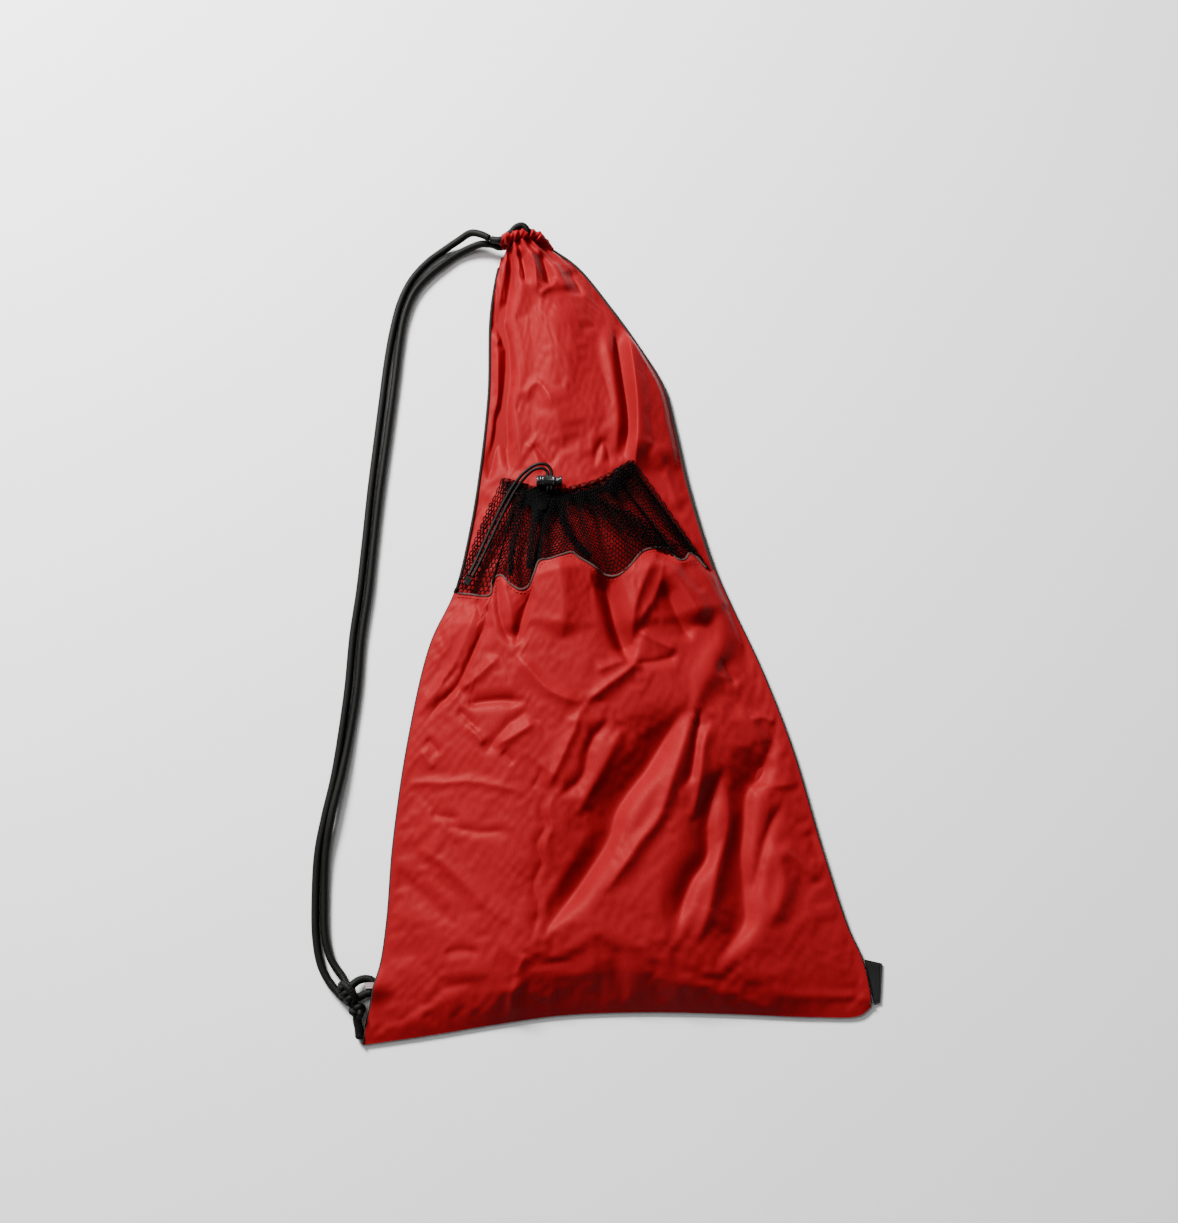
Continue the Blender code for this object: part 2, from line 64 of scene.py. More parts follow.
# ---- sizes, in millimetres
SACK_BASE = 2.3                           # height of the front cloth at the seams
FRONT_RISE = (12.0, 14.0)                 # how far it swells, at the bottom and at the mouth
POCKET_GAP = 1.7                          # the pocket's cloth over the front cloth at the seams
POCKET_RISE = 7.5                         # how much further the pocket swells
BOTTOM_ROUND = 0.13                       # share of the length where the bottom rounds off
CLOTH_END = 0.985                         # share of the length where the cloth enters the mouth
TURN_EDGE = 2.0                           # height where the turned bottom ends
HUMP_PLACE, HUMP_RISE = (-158.0, -239.5), 5.6
FOLD_SHARE = 0.9                          # how much of the pocket's named folds is shown
EDGE_INSET = 0.9                          # cloth ends this far inside the outline
NET_CELL, NET_STRAND = 2.8, 0.85
CORD_RADIUS = 2.5
TAIL_RADIUS = 2.7
ELASTIC_RADIUS = 1.1

# The sack's outline on the floor, bottom left corner first
LEFT_SIDE = [(-165.5, -275), (-163, -262), (-160.5, -250), (-158, -238), (-154.5, -222),
             (-151.7, -195), (-149.5, -151), (-141.5, -83), (-128.5, -19), (-113, 17), (-104, 58),
             (-98, 100), (-93, 157), (-92.5, 214), (-89, 243), (-84, 266)]
RIGHT_SIDE = [(154, -251), (152.5, -238), (149, -222), (140.5, -202), (125.5, -151),
              (108.5, -87), (89.5, -34), (71.5, 7), (60.5, 34), (44.5, 90), (35.5, 133),
              (28.5, 162), (11.5, 192), (-8.5, 222), (-31.5, 252), (-50, 266), (-62, 273)]
BOTTOM_SIDE = [(-164.5, -275), (-122, -269), (-85, -263), (-41.5, -257), (10, -255),
               (65, -256), (120, -258), (146, -257), (154, -251)]
MOUTH_SIDE = [(-84, 266), (-75, 271.5), (-62, 273)]

# Free cords: routes along their middle, x, y and height
STRAP_OUTER = [(-92.0, 268.0, 13.1), (-98.2, 271.6, 12.2), (-106, 274, 9.8), (-115, 270, 6.2),
               (-125, 264, 3.4), (-136, 255.5, 2.6), (-147, 242, 2.6), (-154.5, 225, 2.6),
               (-159, 205, 2.6), (-162.5, 180, 2.6), (-165, 153, 2.6), (-168, 120, 2.6),
               (-171, 86, 2.6), (-173.5, 50, 2.6), (-176, 18, 2.6), (-179.5, -14, 2.6),
               (-181.5, -48, 2.6), (-184.5, -78, 2.6), (-188.5, -108, 2.6),
               (-193.5, -133, 2.6), (-197, -156, 2.6), (-197.5, -184, 2.6),
               (-196, -210, 2.6), (-192, -227, 2.6), (-185.5, -238, 3.0), (-181.7, -242, 3.6)]
STRAP_INNER = [(-92.0, 266.5, 7.5), (-98.6, 267.4, 6.4), (-106.5, 265.6, 4.2), (-116, 261, 2.6),
               (-126, 253.5, 2.6), (-137, 243.5, 2.6), (-145.5, 232, 2.6), (-151.5, 215, 2.6),
               (-154.5, 195, 2.6), (-156.5, 172, 2.6), (-159, 145, 2.6), (-162, 115, 2.6),
               (-165.3, 82, 2.6), (-167.9, 48, 2.6), (-170, 18, 2.6), (-173.7, -14, 2.6),
               (-175.5, -48, 2.6), (-178.7, -76, 2.7), (-183.4, -106, 4.4),
               (-188.6, -132, 5.4), (-191.8, -156, 3.8), (-191.9, -184, 2.6),
               (-190.3, -209, 2.6), (-186.3, -222, 2.8), (-180.7, -230.3, 3.4),
               (-178.2, -233.2, 4.0)]
CHANNEL_CORD = [(-92.4, 268.1, 13.1), (-90.5, 267.2, 13.5), (-86, 266.0, 15.0),
                (-80, 268, 15.0), (-72, 270, 14.8), (-64, 270, 13.8), (-59.5, 268.6, 11.0),
                (-64, 268.6, 7.6), (-72, 268.6, 6.8), (-80, 266.4, 6.8), (-86, 265, 6.4),
                (-90.5, 266.2, 7.4), (-94.0, 267.0, 7.2)]
CORD_EYELET_LOOP = [(-84, 267.6, 14.5), (-78, 270.6, 17.0), (-73.5, 274.5, 18.4),
                    (-69.5, 275.2, 18.6), (-66.5, 272.5, 18.0), (-65.5, 268.5, 15.6)]
KNOT_LOOP = [(-175.5, -243.5, 7.2), (-172.8, -239.8, 7.0), (-167.9, -235.6, 5.2),
             (-163.5, -234.6, 4.2), (-159.8, -235.6, 4.1), (-158.2, -238.9, 4.1),
             (-159.4, -242.2, 4.1), (-163, -243.6, 4.4), (-167.2, -245.6, 5.6),
             (-172.0, -247.0, 7.0)]
STRAP_TAIL = [(-168.3, -256.0, 5.2), (-168.0, -260.6, 4.2), (-167.1, -264.5, 3.4),
              (-166.7, -268, 2.9), (-166.5, -271.5, 2.8)]
HITCH_PLACE = (-174.5, -243.3, 6.0)
STOPPER_PLACE = (-167.9, -254.3, 5.6)
TAIL_LEFT = [(-52.2, 80.9, 18.9), (-51.1, 80.7, 19.9), (-50.7, 80.8, 21.6), (-50.7, 81.9, 23.2),
             (-50.7, 85.0, 23.5), (-50.7, 91.0, 23.6), (-51.6, 94.2, 24.0), (-54.8, 96.0, 24.5),
             (-59.5, 95.4, 24.0), (-65, 91.6, 21.8), (-71.5, 84.0, 18.4), (-77.8, 73.2, 15.6),
             (-84, 60.5, 13.6), (-90.3, 46.8, 11.9), (-96.2, 34, 11.1), (-101.0, 24.2, 10.8)]
TAIL_RIGHT = [(-43.2, 80.8, 18.9), (-45.8, 80.6, 19.3), (-47.9, 80.7, 21.2), (-48.3, 81.9, 23.1),
              (-48.3, 85.0, 23.5), (-48.3, 91.0, 23.6), (-48.9, 95.2, 24.0), (-51.9, 98.4, 24.7),
              (-58, 98.5, 24.8), (-65.4, 94.6, 22.6), (-73.2, 86.6, 18.8), (-80.1, 75.6, 15.4),
              (-86.6, 62.5, 13.0), (-92.9, 48.9, 11.2), (-98.6, 35.4, 11.0), (-103.2, 25.4, 10.8)]
TIP_PLACE = (-103.6, 21.8, 10.8)
TIP_TURN = -27                            # degrees on the plan
# The pocket's gathered hem, left half and right half
HEM_LEFT = [(-81, 92, 11), (-72, 89, 13.8), (-62, 84.5, 16.8), (-53.5, 81, 18.7)]
HEM_RIGHT = [(-42, 81, 18.9), (-33, 84, 19.2), (-20, 88, 18.8), (-7, 95, 17.4), (5, 104, 14.8)]
LOCK_PLACE = (-58.5, 87.5, 23.5)
TAB_PLACE = (-158.9, -238.9, 4.1)
LABEL_CORNERS = [(150.4, -222.5), (161.4, -225), (159, -249), (155.4, -250.5)]

# The scalloped seam between the pocket's panel and its mesh
SCALLOPS = [(-113.5, 16), (-104, 14), (-88.5, 12), (-87, 22), (-82, 25), (-75.5, 18.5),
            (-68.5, 14), (-63.5, 15.5), (-59.5, 24), (-56, 33), (-49, 34), (-41, 36.5),
            (-34.5, 38), (-30, 34.5), (-22.5, 30), (-13, 24), (-4.5, 23), (3, 29),
            (12, 40), (19, 43), (28.5, 43.5), (36, 35.5), (40, 36), (43.5, 41.5),
            (48, 39), (53, 33), (57, 30)]
# The top of the pocket's mesh, where the hem gathers it
BAND_TOP = [(-82, 93, 11.5), (-72, 89.5, 14.5), (-62, 84, 17), (-52, 80.5, 18.6),
            (-42, 81, 19), (-33, 84, 19.4), (-20, 88, 19), (-10, 93, 18), (-2, 99, 16.5),
            (6, 105, 15.2)]


# ---- plan and routes
def on_plan(points):
    """Plan points in millimetres, with or without a height, as places in metres."""
    points = np.asarray(points, float)
    if points.shape[-1] == 2:
        points = np.concatenate([points, np.zeros(points.shape[:-1] + (1,))], axis=-1)
    return (points - PLAN_MIDDLE) * MM


def lifted(plan, height):
    """Plan points with their heights added."""
    return np.concatenate([plan, height[..., None]], axis=-1)


def smooth(points, steps=16):
    """Points along the centripetal Catmull-Rom curve through given ones."""
    knots = np.array(points, float)
    knots = np.vstack([2 * knots[0] - knots[1], knots, 2 * knots[-1] - knots[-2]])
    rows = []
    for i in range(len(knots) - 3):
        p = knots[i:i + 4]
        gaps = np.sqrt(np.maximum(np.linalg.norm(np.diff(p, axis=0), axis=1), 1e-6))
        t = np.concatenate([[0.0], np.cumsum(gaps)])
        now = np.linspace(t[1], t[2], steps, endpoint=False)[:, None]
        a = [p[k] + (p[k + 1] - p[k]) * (now - t[k]) / (t[k + 1] - t[k]) for k in range(3)]
        b = [a[k] + (a[k + 1] - a[k]) * (now - t[k]) / (t[k + 2] - t[k]) for k in range(2)]
        rows.append(b[0] + (b[1] - b[0]) * (now - t[1]) / (t[2] - t[1]))
    return np.vstack(rows + [knots[-2:-1]])


def length_along(line):
    """The length up to each point of a line."""
    return np.concatenate([[0.0], np.cumsum(np.linalg.norm(np.diff(line, axis=0), axis=1))])


def even(line, count):
    """The line again, with evenly spaced points."""
    reach = length_along(line)
    goal = np.linspace(0, reach[-1], count)
    return np.stack([np.interp(goal, reach, line[:, k]) for k in range(line.shape[1])], axis=1)


def unit_ahead(line):
    """The direction of a line at each of its points."""
    ahead = np.gradient(line, axis=0)
    return ahead / np.linalg.norm(ahead, axis=1)[:, None]


def read(route, share):
    """Points of an evenly spaced route at shares of its length."""
    at = np.linspace(0, 1, len(route))
    return np.stack([np.interp(share, at, route[:, k]) for k in range(route.shape[1])], axis=-1)


LEFT, RIGHT, BOTTOM, MOUTH = [even(smooth(side), 400) for side in
                              (LEFT_SIDE, RIGHT_SIDE, BOTTOM_SIDE, MOUTH_SIDE)]


def mix(low, high, share):
    """From low, at share 0, to high, at share 1."""
    return low + (high - low) * share


def ease(share):
    """Smooth step from 0 to 1."""
    share = np.clip(share, 0.0, 1.0)
    return share * share * (3 - 2 * share)


def sack_plan(u, v):
    """Plan point at share u from the left seam and v from the bottom (a Coons patch)."""
    u, v = np.broadcast_arrays(np.asarray(u, float), np.asarray(v, float))
    us, vs = u[..., None], v[..., None]
    sides = mix(read(LEFT, v), read(RIGHT, v), us)
    ends = mix(read(BOTTOM, u), read(MOUTH, u), vs)
    corners = mix(mix(BOTTOM[0], BOTTOM[-1], us), mix(MOUTH[0], MOUTH[-1], us), vs)
    return sides + ends - corners


def shares_at(plan):
    """The shares (u, v) of plan points, by stepping towards each point."""
    plan = np.asarray(plan, float)
    u, v = np.full(plan.shape[:-1], 0.5), np.full(plan.shape[:-1], 0.5)
    small = 0.002
    for _ in range(12):
        here = sack_plan(u, v)
        du = (sack_plan(u + small, v) - here) / small
        dv = (sack_plan(u, v + small) - here) / small
        miss = plan - here
        size = du[..., 0] * dv[..., 1] - du[..., 1] * dv[..., 0]
        u = np.clip(u + (miss[..., 0] * dv[..., 1] - miss[..., 1] * dv[..., 0]) / size, -0.1, 1.1)
        v = np.clip(v + (du[..., 0] * miss[..., 1] - du[..., 1] * miss[..., 0]) / size, -0.1, 1.1)
    return u, v


def swell(u, v):
    """0 at the side seams and the bottom edge, 1 along the middle."""
    across = np.clip(1 - (2 * u - 1) ** 2, 0, 1) ** 1.25
    low = 1 - np.clip(v / BOTTOM_ROUND, 0, 1)
    return across * (1 - low * low)


def tab_hump(plan):
    """The low hump where the cloth's edge lies over the tab and its cord."""
    off = np.asarray(plan)[..., :2] - np.array(HUMP_PLACE)
    return HUMP_RISE * np.exp(-(off[..., 0] / 9.0) ** 2 - (off[..., 1] / 8.0) ** 2)


def front_height(u, v):
    """Top of the front panel, in millimetres."""
    return SACK_BASE + swell(u, v) * mix(*FRONT_RISE, v)


def pocket_height(u, v):
    """Top of the pocket's own cloth, in millimetres."""
    return front_height(u, v) + POCKET_GAP + swell(u, v) * POCKET_RISE


def share_grid(columns, rows):
    """A grid of shares, from 0 to 1 across and from 0 to 1 up."""
    return np.meshgrid(np.linspace(0, 1, columns), np.linspace(0, 1, rows))


# ---- folds
# Each fold: points on the plan, rise, width on its left and on its right, crispness.
# A rise above 0 is a ridge, below 0 a valley.
POCKET_FOLDS = [
    # lobes and valleys below the scallops
    ([(-45, 38), (-41, 16), (-40, -2), (-42, -21)], 4.5, 9, 13, 1.7),
    ([(-17, 31), (-11, 10), (-5, -14), (4, -38)], -11.5, 7, 5, 1.8),
    ([(23, 44), (14, 23), (6, 0), (4, -21)], 5.0, 6, 9, 1.5),
    ([(27, 40), (21, 12), (13, -2), (8, -11)], 3.0, 5, 5, 1.3),
    ([(24, 20), (38, -11), (44, -21)], -4.0, 5, 5, 1.5),
    ([(26, 34), (44, 6), (53, -11)], 4.0, 6, 6, 1.7),
    ([(38, 34), (45, 24), (52, 12)], -1.6, 4, 4, 1.6),
    ([(38, 46), (46, 20), (54, -8)], 5.5, 9, 24, 1.5),
    ([(46, 42), (56, 20), (62, 4), (64, -17), (59, -29), (52, -46), (43, -62)], 4.2, 10, 11, 1.8),
    ([(-83, 24), (-82, 0), (-74, -25)], -3.2, 3.5, 3, 1.4),
    ([(-61, 15), (-67, -5), (-72, -25)], -4.2, 3, 4, 1.4),
    ([(-82, 26), (-76, 4), (-73, -18)], 2.6, 5, 5, 1.6),
    ([(-98, 11), (-94, -2), (-88, 5)], -1.6, 2.5, 2.5, 1.3),
    # star where the pocket's fullness breaks
    ([(-27, -63), (-12, -51), (4, -38), (8, -30)], 3.4, 4, 5, 1.25),
    ([(-27, -63), (-49, -54), (-71, -29)], 3.4, 5, 5, 1.25),
    ([(-27, -63), (-36, -87), (-51, -119)], 3.0, 5, 6, 1.25),
    ([(8, -14), (21, -21), (35, -27)], 2.4, 3, 4, 1.2),
    ([(35, -29), (20, -34), (5, -36)], -2.2, 3, 3, 1.3),
    ([(-20, -42), (-8, -37), (2, -33)], 2.0, 4, 4, 1.3),
    # left side: long diagonal with crumples below it
    ([(-88, 4), (-91, -6), (-103, -35), (-110, -49), (-120, -59), (-131, -73)], -3.0, 4, 3, 1.3),
    ([(-96, 8), (-110, -30), (-124, -52), (-136, -70)], 2.2, 5, 4, 1.5),
    ([(-108, -53), (-94, -41), (-81, -30)], 2.2, 4, 4, 1.2),
    ([(-106, -61), (-85, -59), (-65, -60)], -3.2, 4, 4, 1.3),
    ([(-109, -63), (-94, -80)], -2.0, 3, 3, 1.2),
    ([(-103, -74), (-90, -89)], 2.0, 3, 3, 1.2),
    ([(-129, -82), (-119, -94)], -1.8, 3, 3, 1.2),
    ([(-133, -90), (-123, -103)], 1.6, 3, 3, 1.2),
    ([(-80, -93), (-71, -101)], -1.6, 3, 3, 1.2),
    ([(-56, -73), (-71, -83), (-85, -90)], 2.6, 4, 5, 1.25),
    ([(-62, -66), (-76, -76), (-92, -96)], -1.8, 4, 4, 1.3),
    ([(-148, -165), (-128, -183), (-106, -203)], -1.8, 6, 8, 1.7),
    ([(-134, -152), (-110, -168), (-84, -196)], 1.8, 8, 6, 1.5),
    ([(-116, -220), (-103, -217), (-90, -220)], -1.4, 3, 4, 1.4),
    ([(-126, -131), (-115, -134), (-105, -134)], -1.2, 2.5, 2.5, 1.2),
    ([(-117, -139), (-91, -144), (-73, -143)], -1.2, 2.5, 2.5, 1.2),
    # creases from packing: straight across and straight down
    ([(-143, -111), (-119, -112), (-98, -112), (-62, -120)], 1.2, 3, 2.4, 1.1),
    ([(75, -115), (94, -114), (111, -112)], 1.2, 3, 3, 1.1),
    ([(-51, -119), (-54, -130), (-51, -141), (-56, -152), (-53, -163), (-58, -176), (-55, -190),
      (-60, -216)], -1.5, 2.4, 3.4, 1.1),
    ([(-46, -121), (-49, -131), (-47, -141), (-51, -153), (-49, -166)], 1.1, 3, 2.4, 1.1),
    ([(-52, -103), (-60, -118)], -1.2, 2.5, 2.5, 1.2),
    # diagonals that fan down from the right lobe
    ([(-8, -70), (-22, -87), (-28, -109), (-43, -124)], -3.0, 5, 4, 1.5),
    ([(-1, -76), (-19, -112), (-33, -136)], 2.6, 6, 6, 1.5),
    ([(43, -60), (36, -68), (26, -82), (13, -103), (-6, -130), (-11, -147), (-29, -176),
      (-46, -199), (-54, -213)], -11.0, 7, 15, 1.6),
    ([(45, -64), (39, -82), (30, -109), (20, -136), (7, -153), (-17, -188)], 3.6, 6, 5, 1.5),
    ([(49, -63), (45, -87), (41, -109), (35, -118)], -3.2, 3.5, 3.5, 1.4),
    ([(57, -70), (50, -89), (47, -114), (42, -136)], 3.0, 5, 4, 1.4),
    ([(64, -100), (56, -119), (52, -136), (51, -159), (41, -175), (34, -193), (30, -210)],
     -6.6, 5, 9, 1.6),
    ([(64, -112), (65, -141), (58, -164), (53, -187), (43, -216)], 3.4, 6, 5, 1.5),
    ([(99, -74), (90, -97), (84, -110), (78, -117), (75, -141), (73, -158), (74, -180),
      (74, -199), (58, -221), (53, -227)], -9.4, 7, 15, 1.6),
    ([(102, -123), (92, -140), (83, -169), (78, -190)], -2.6, 4, 5, 1.4),
    ([(92, -146), (100, -172), (90, -205)], 2.8, 8, 8, 1.6),
    ([(96, -152), (110, -162), (124, -175)], 2.0, 5, 5, 1.3),
    ([(118, -140), (126, -163)], -2.0, 4, 4, 1.4),
    ([(80, -71), (90, -69), (99, -72)], 1.8, 3, 3, 1.3),
    ([(62, -30), (73, -49)], -2.0, 3, 3, 1.3),
    ([(72, -60), (88, -86), (95, -104)], 2.2, 6, 6, 1.5),
    ([(-22, -140), (-38, -170), (-60, -200)], 1.8, 8, 6, 1.6),
    # where the bottom turns under
    ([(-126, -252), (-115, -238), (-92, -231), (-71, -234), (-62, -221), (-46, -220),
      (-29, -215), (-17, -211), (8, -219), (30, -228), (60, -235), (96, -236), (133, -239)],
     2.4, 14, 12, 1.8),
    ([(-62, -219), (-70, -234)], 1.6, 3, 3, 1.2),
]
FRONT_FOLDS = [
    # the tucked pleats left and right of the middle column
    ([(-77, 268), (-79, 234), (-82, 210), (-79, 172), (-81, 142), (-77, 92)], -8.0, 4.5, 5.5, 1.6),
    ([(-72, 264), (-72, 232), (-75, 205), (-72, 170), (-74, 140), (-70, 96)], 3.5, 7, 4, 1.4),
    ([(-88, 214), (-86, 180), (-87, 150), (-92, 110)], 3.0, 3.5, 4, 1.4),
    ([(-85, 150), (-88, 120), (-92, 92)], -3.5, 3.5, 3, 1.4),
    ([(-89, 212), (-85, 201), (-80, 190)], -2.2, 3, 3, 1.2),
    ([(-88, 190), (-84, 200), (-80, 214)], 1.6, 3, 3, 1.2),
    ([(-8, 205), (-4, 188), (0, 162), (3, 135), (0, 104)], -6.0, 5, 3.5, 1.5),
    ([(-14, 204), (-10, 186), (-6, 160), (-4, 135), (-6, 106)], 3.2, 8, 5, 1.6),
    ([(1, 212), (7, 168), (9, 138), (7, 92)], 10.5, 27, 4.5, 1.3),
    ([(13, 190), (17, 160), (19, 130), (16, 95)], -1.2, 7, 8, 1.8),
    # mouth crinkles running down from the bunch
    ([(-72, 260), (-69, 246), (-67, 232)], -4.0, 3, 3, 1.4),
    ([(-57, 260), (-53, 244), (-50, 229)], -4.0, 3.5, 3.5, 1.4),
    ([(-64, 262), (-61, 246), (-59, 224)], 3.0, 3.5, 3.5, 1.4),
    ([(-59, 223), (-50, 231), (-45, 238)], 2.2, 3, 3, 1.2),
    ([(-48, 254), (-43, 240), (-38, 228)], 2.2, 4, 4, 1.4),
    ([(-38, 248), (-34, 240), (-28, 226)], -2.4, 3, 4, 1.4),
    ([(-80, 258), (-84, 240), (-86, 220)], 1.8, 3, 3, 1.4),
    # soft arches above the pocket
    ([(-66, 146), (-64, 157), (-58, 160), (-52, 153), (-48, 139)], 1.6, 4, 4, 1.3),
    ([(-57, 158), (-50, 148), (-44, 130), (-40, 112)], 1.2, 6, 5, 1.5),
    ([(-62, 118), (-55, 109), (-48, 99)], -2.2, 3.5, 3.5, 1.3),
    ([(-68, 118), (-60, 112), (-56, 96)], 1.6, 4, 4, 1.3),
    ([(-20, 98), (-18, 112), (-14, 118), (-11, 112), (-9, 98)], -1.8, 3, 3, 1.4),
    ([(-40, 232), (-41, 192), (-43, 148), (-44, 112)], 2.2, 15, 15, 2.0),
    ([(-30, 200), (-18, 204)], -0.8, 3, 3, 1.3),
    ([(20, 120), (30, 96), (38, 70)], 1.6, 6, 6, 1.5),
    ([(-96, 90), (-102, 60), (-112, 30)], -1.4, 6, 5, 1.5),
]
BACK_FOLDS = [
    ([(-90, 150), (-80, 0), (-100, -200)], -0.5, 9, 9, 1.6),
    ([(-20, 200), (0, 60), (30, -180)], -0.5, 10, 10, 1.6),
    ([(20, 150), (60, -20), (100, -200)], 0.4, 8, 8, 1.6),
]


def fold_rise(plan, points, rise, left, right, crisp):
    """How far one fold lifts each plan point."""
    line = even(smooth(points), 48)
    lift = np.zeros(plan.shape[:-1])
    reach = 3.2 * max(left, right)
    near = ((plan > line.min(0) - reach) & (plan < line.max(0) + reach)).all(axis=-1)
    place = plan[near]
    if not len(place):
        return lift
    ahead = unit_ahead(line)
    far = np.linalg.norm(place[:, None] - line[None], axis=2)
    nearest = far.argmin(axis=1)
    offset = place - line[nearest]
    side = ahead[nearest, 0] * offset[:, 1] - ahead[nearest, 1] * offset[:, 0]
    along = (ahead[nearest] * offset).sum(axis=1)
    spacing = np.linalg.norm(line[1] - line[0])
    share = (nearest * spacing + along) / (spacing * (len(line) - 1))
    taper = ease(np.minimum(share, 1 - share) / 0.22)
    width = np.where(side > 0, left, right) * (0.55 + 0.45 * taper)
    lift[near] = rise * taper * np.exp(-(np.abs(side) / width) ** crisp)
    return lift


def folds_rise(plan, folds):
    """How far a list of folds lifts each plan point."""
    return sum(fold_rise(plan, *fold) for fold in folds)


def pocket_top(plan, share=1.0):
    """Top of the pocket's cloth at plan points, with a share of its named folds."""
    u, v = shares_at(plan)
    return pocket_height(u, v) + FOLD_SHARE * folds_rise(plan, POCKET_FOLDS) * share


def crumple_rise(plan, seed, count, low, high, lean, rise):
    """Many short crisp creases, as thin coated cloth keeps them; lean is their usual heading."""
    draw = np.random.default_rng(seed)
    lift = np.zeros(plan.shape[:-1])
    for _ in range(count):
        middle = draw.uniform(low, high)
        turn = math.radians(draw.normal(lean, 38))
        half = draw.uniform(5, 15) * np.array([math.cos(turn), math.sin(turn)])
        bow = draw.uniform(-2, 2) * np.array([-math.sin(turn), math.cos(turn)])
        width = draw.uniform(1.6, 4.0)
        size = rise * draw.uniform(0.3, 1.0) * draw.choice([-1, 1])
        lift += fold_rise(plan, [middle - half, middle + bow, middle + half],
                          size, width, width * draw.uniform(0.7, 1.4), 1.25)
    return lift


def facets(plan, seed, size, rise):
    """Flat facets that meet in crisp creases: triangle waves that wander and fade."""
    draw = np.random.default_rng(seed)
    lift = np.zeros(plan.shape[:-1])
    for _ in range(9):
        heading, drift, fade = draw.uniform(0, math.pi, 3)
        period = size * draw.uniform(0.6, 1.7)
        across = plan @ [math.cos(heading), math.sin(heading)]
        along = plan @ [math.cos(drift), math.sin(drift)]
        other = plan @ [math.cos(fade), math.sin(fade)]
        wander = 1.7 * np.sin(along / (0.75 * period) + draw.uniform(0, 6))
        wave = np.arcsin(np.sin(2 * math.pi * across / period + wander)) * 2 / math.pi
        strength = np.clip(np.sin(other / (0.5 * size) + draw.uniform(0, 6)), 0, 1) ** 1.5
        lift += wave * strength * rise * period / size
    return lift


# The crease where the bottom turns under
BOTTOM_TURN = [(-165, -262), (-140, -258), (-126, -250), (-115, -237), (-92, -231), (-71, -234),
               (-62, -220), (-46, -219), (-29, -214), (-17, -210), (8, -218), (30, -227),
               (60, -234), (96, -236), (133, -239), (156, -246)]


def turned_under(plan, height):
    """The height again, falling away below the crease to the bottom edge."""
    crease = np.array(BOTTOM_TURN, float)
    line = np.interp(plan[..., 0], crease[:, 0], crease[:, 1])
    edge = np.interp(plan[..., 0], BOTTOM[:, 0], BOTTOM[:, 1])
    share = np.clip((plan[..., 1] - edge) / (line - edge), 0, 1)
    first_above = np.minimum((share < 1).sum(axis=0), len(height) - 1)
    crest = np.take_along_axis(height, first_above[None], axis=0)
    soft = np.hanning(31) / np.hanning(31).sum()
    crest = np.convolve(np.pad(crest[0], 15, mode="edge"), soft, mode="valid")[None]
    pleats = 1 + 0.07 * np.sin(plan[..., 0] / 6.0 + 2 * np.sin(plan[..., 0] / 19.0)) * share
    fall = TURN_EDGE + (crest - TURN_EDGE) * (1 - (1 - share) ** 1.6) * pleats
    return mix(fall, height, ease((share - 0.6) / 0.4))


# ---- mesh building
def grid_object(name, places, material):
    """A smooth mesh through a grid of places in metres."""
    rows, columns = places.shape[:2]
    index = np.arange(rows * columns).reshape(rows, columns)
    faces = np.stack([index[:-1, :-1], index[:-1, 1:], index[1:, 1:], index[1:, :-1]], axis=-1)
    return smooth_object(name, places, faces.reshape(-1, 4).tolist(), material)


def smooth_object(name, places, faces, material):
    """A smooth mesh object of places in metres and faces between them."""
    mesh = bpy.data.meshes.new(name)
    mesh.from_pydata(places.reshape(-1, 3).tolist(), [], faces)
    mesh.shade_smooth()
    return link(name, mesh, material)


def built(name, shape, material):
    """The smooth mesh object of a finished bmesh, which is freed."""
    mesh = bpy.data.meshes.new(name)
    shape.to_mesh(mesh)
    shape.free()
    mesh.shade_smooth()
    return link(name, mesh, material)


def link(name, mesh, material):
    """A mesh as an object of the scene."""
    item = bpy.data.objects.new(name, mesh)
    bpy.context.scene.collection.objects.link(item)
    item.data.materials.append(material)
    return item


def fixed(item):
    """The object again with its modifiers applied."""
    graph = bpy.context.evaluated_depsgraph_get()
    mesh = bpy.data.meshes.new_from_object(item.evaluated_get(graph))
    name, old, material = item.name, item.data, item.data.materials[0]
    bpy.data.objects.remove(item)
    bpy.data.meshes.remove(old)
    mesh.materials.clear()
    return link(name, mesh, material)


def solidify(item, thickness):
    """Gives a sheet its thickness, half on each side."""
    shell = item.modifiers.new("Cloth thickness", "SOLIDIFY")
    shell.thickness = thickness * MM
    shell.offset = 0.0
    shell.use_even_offset = False


def frames_along(path):
    """Unit vectors ahead, aside and up along a path, turning as little as they can."""
    ahead = unit_ahead(path)
    start = np.cross(ahead[0], [0.0, 0.0, 1.0])
    if np.linalg.norm(start) < 1e-6:
        start = np.array([1.0, 0.0, 0.0])
    aside = np.zeros_like(path)
    aside[0] = start / np.linalg.norm(start)
    for i in range(1, len(path)):
        here = aside[i - 1] - ahead[i] * (aside[i - 1] @ ahead[i])
        aside[i] = here / np.linalg.norm(here)
    return ahead, aside, np.cross(ahead, aside)


def rings(path, aside, up, radius, angle, wide=1.0, tall=1.0):
    """Rings about a path; radius, in metres, has a row for each place and an angle across."""
    return path[:, None] + radius[..., None] * (
        wide * aside[:, None] * np.cos(angle)[None, :, None]
        + tall * up[:, None] * np.sin(angle)[None, :, None])


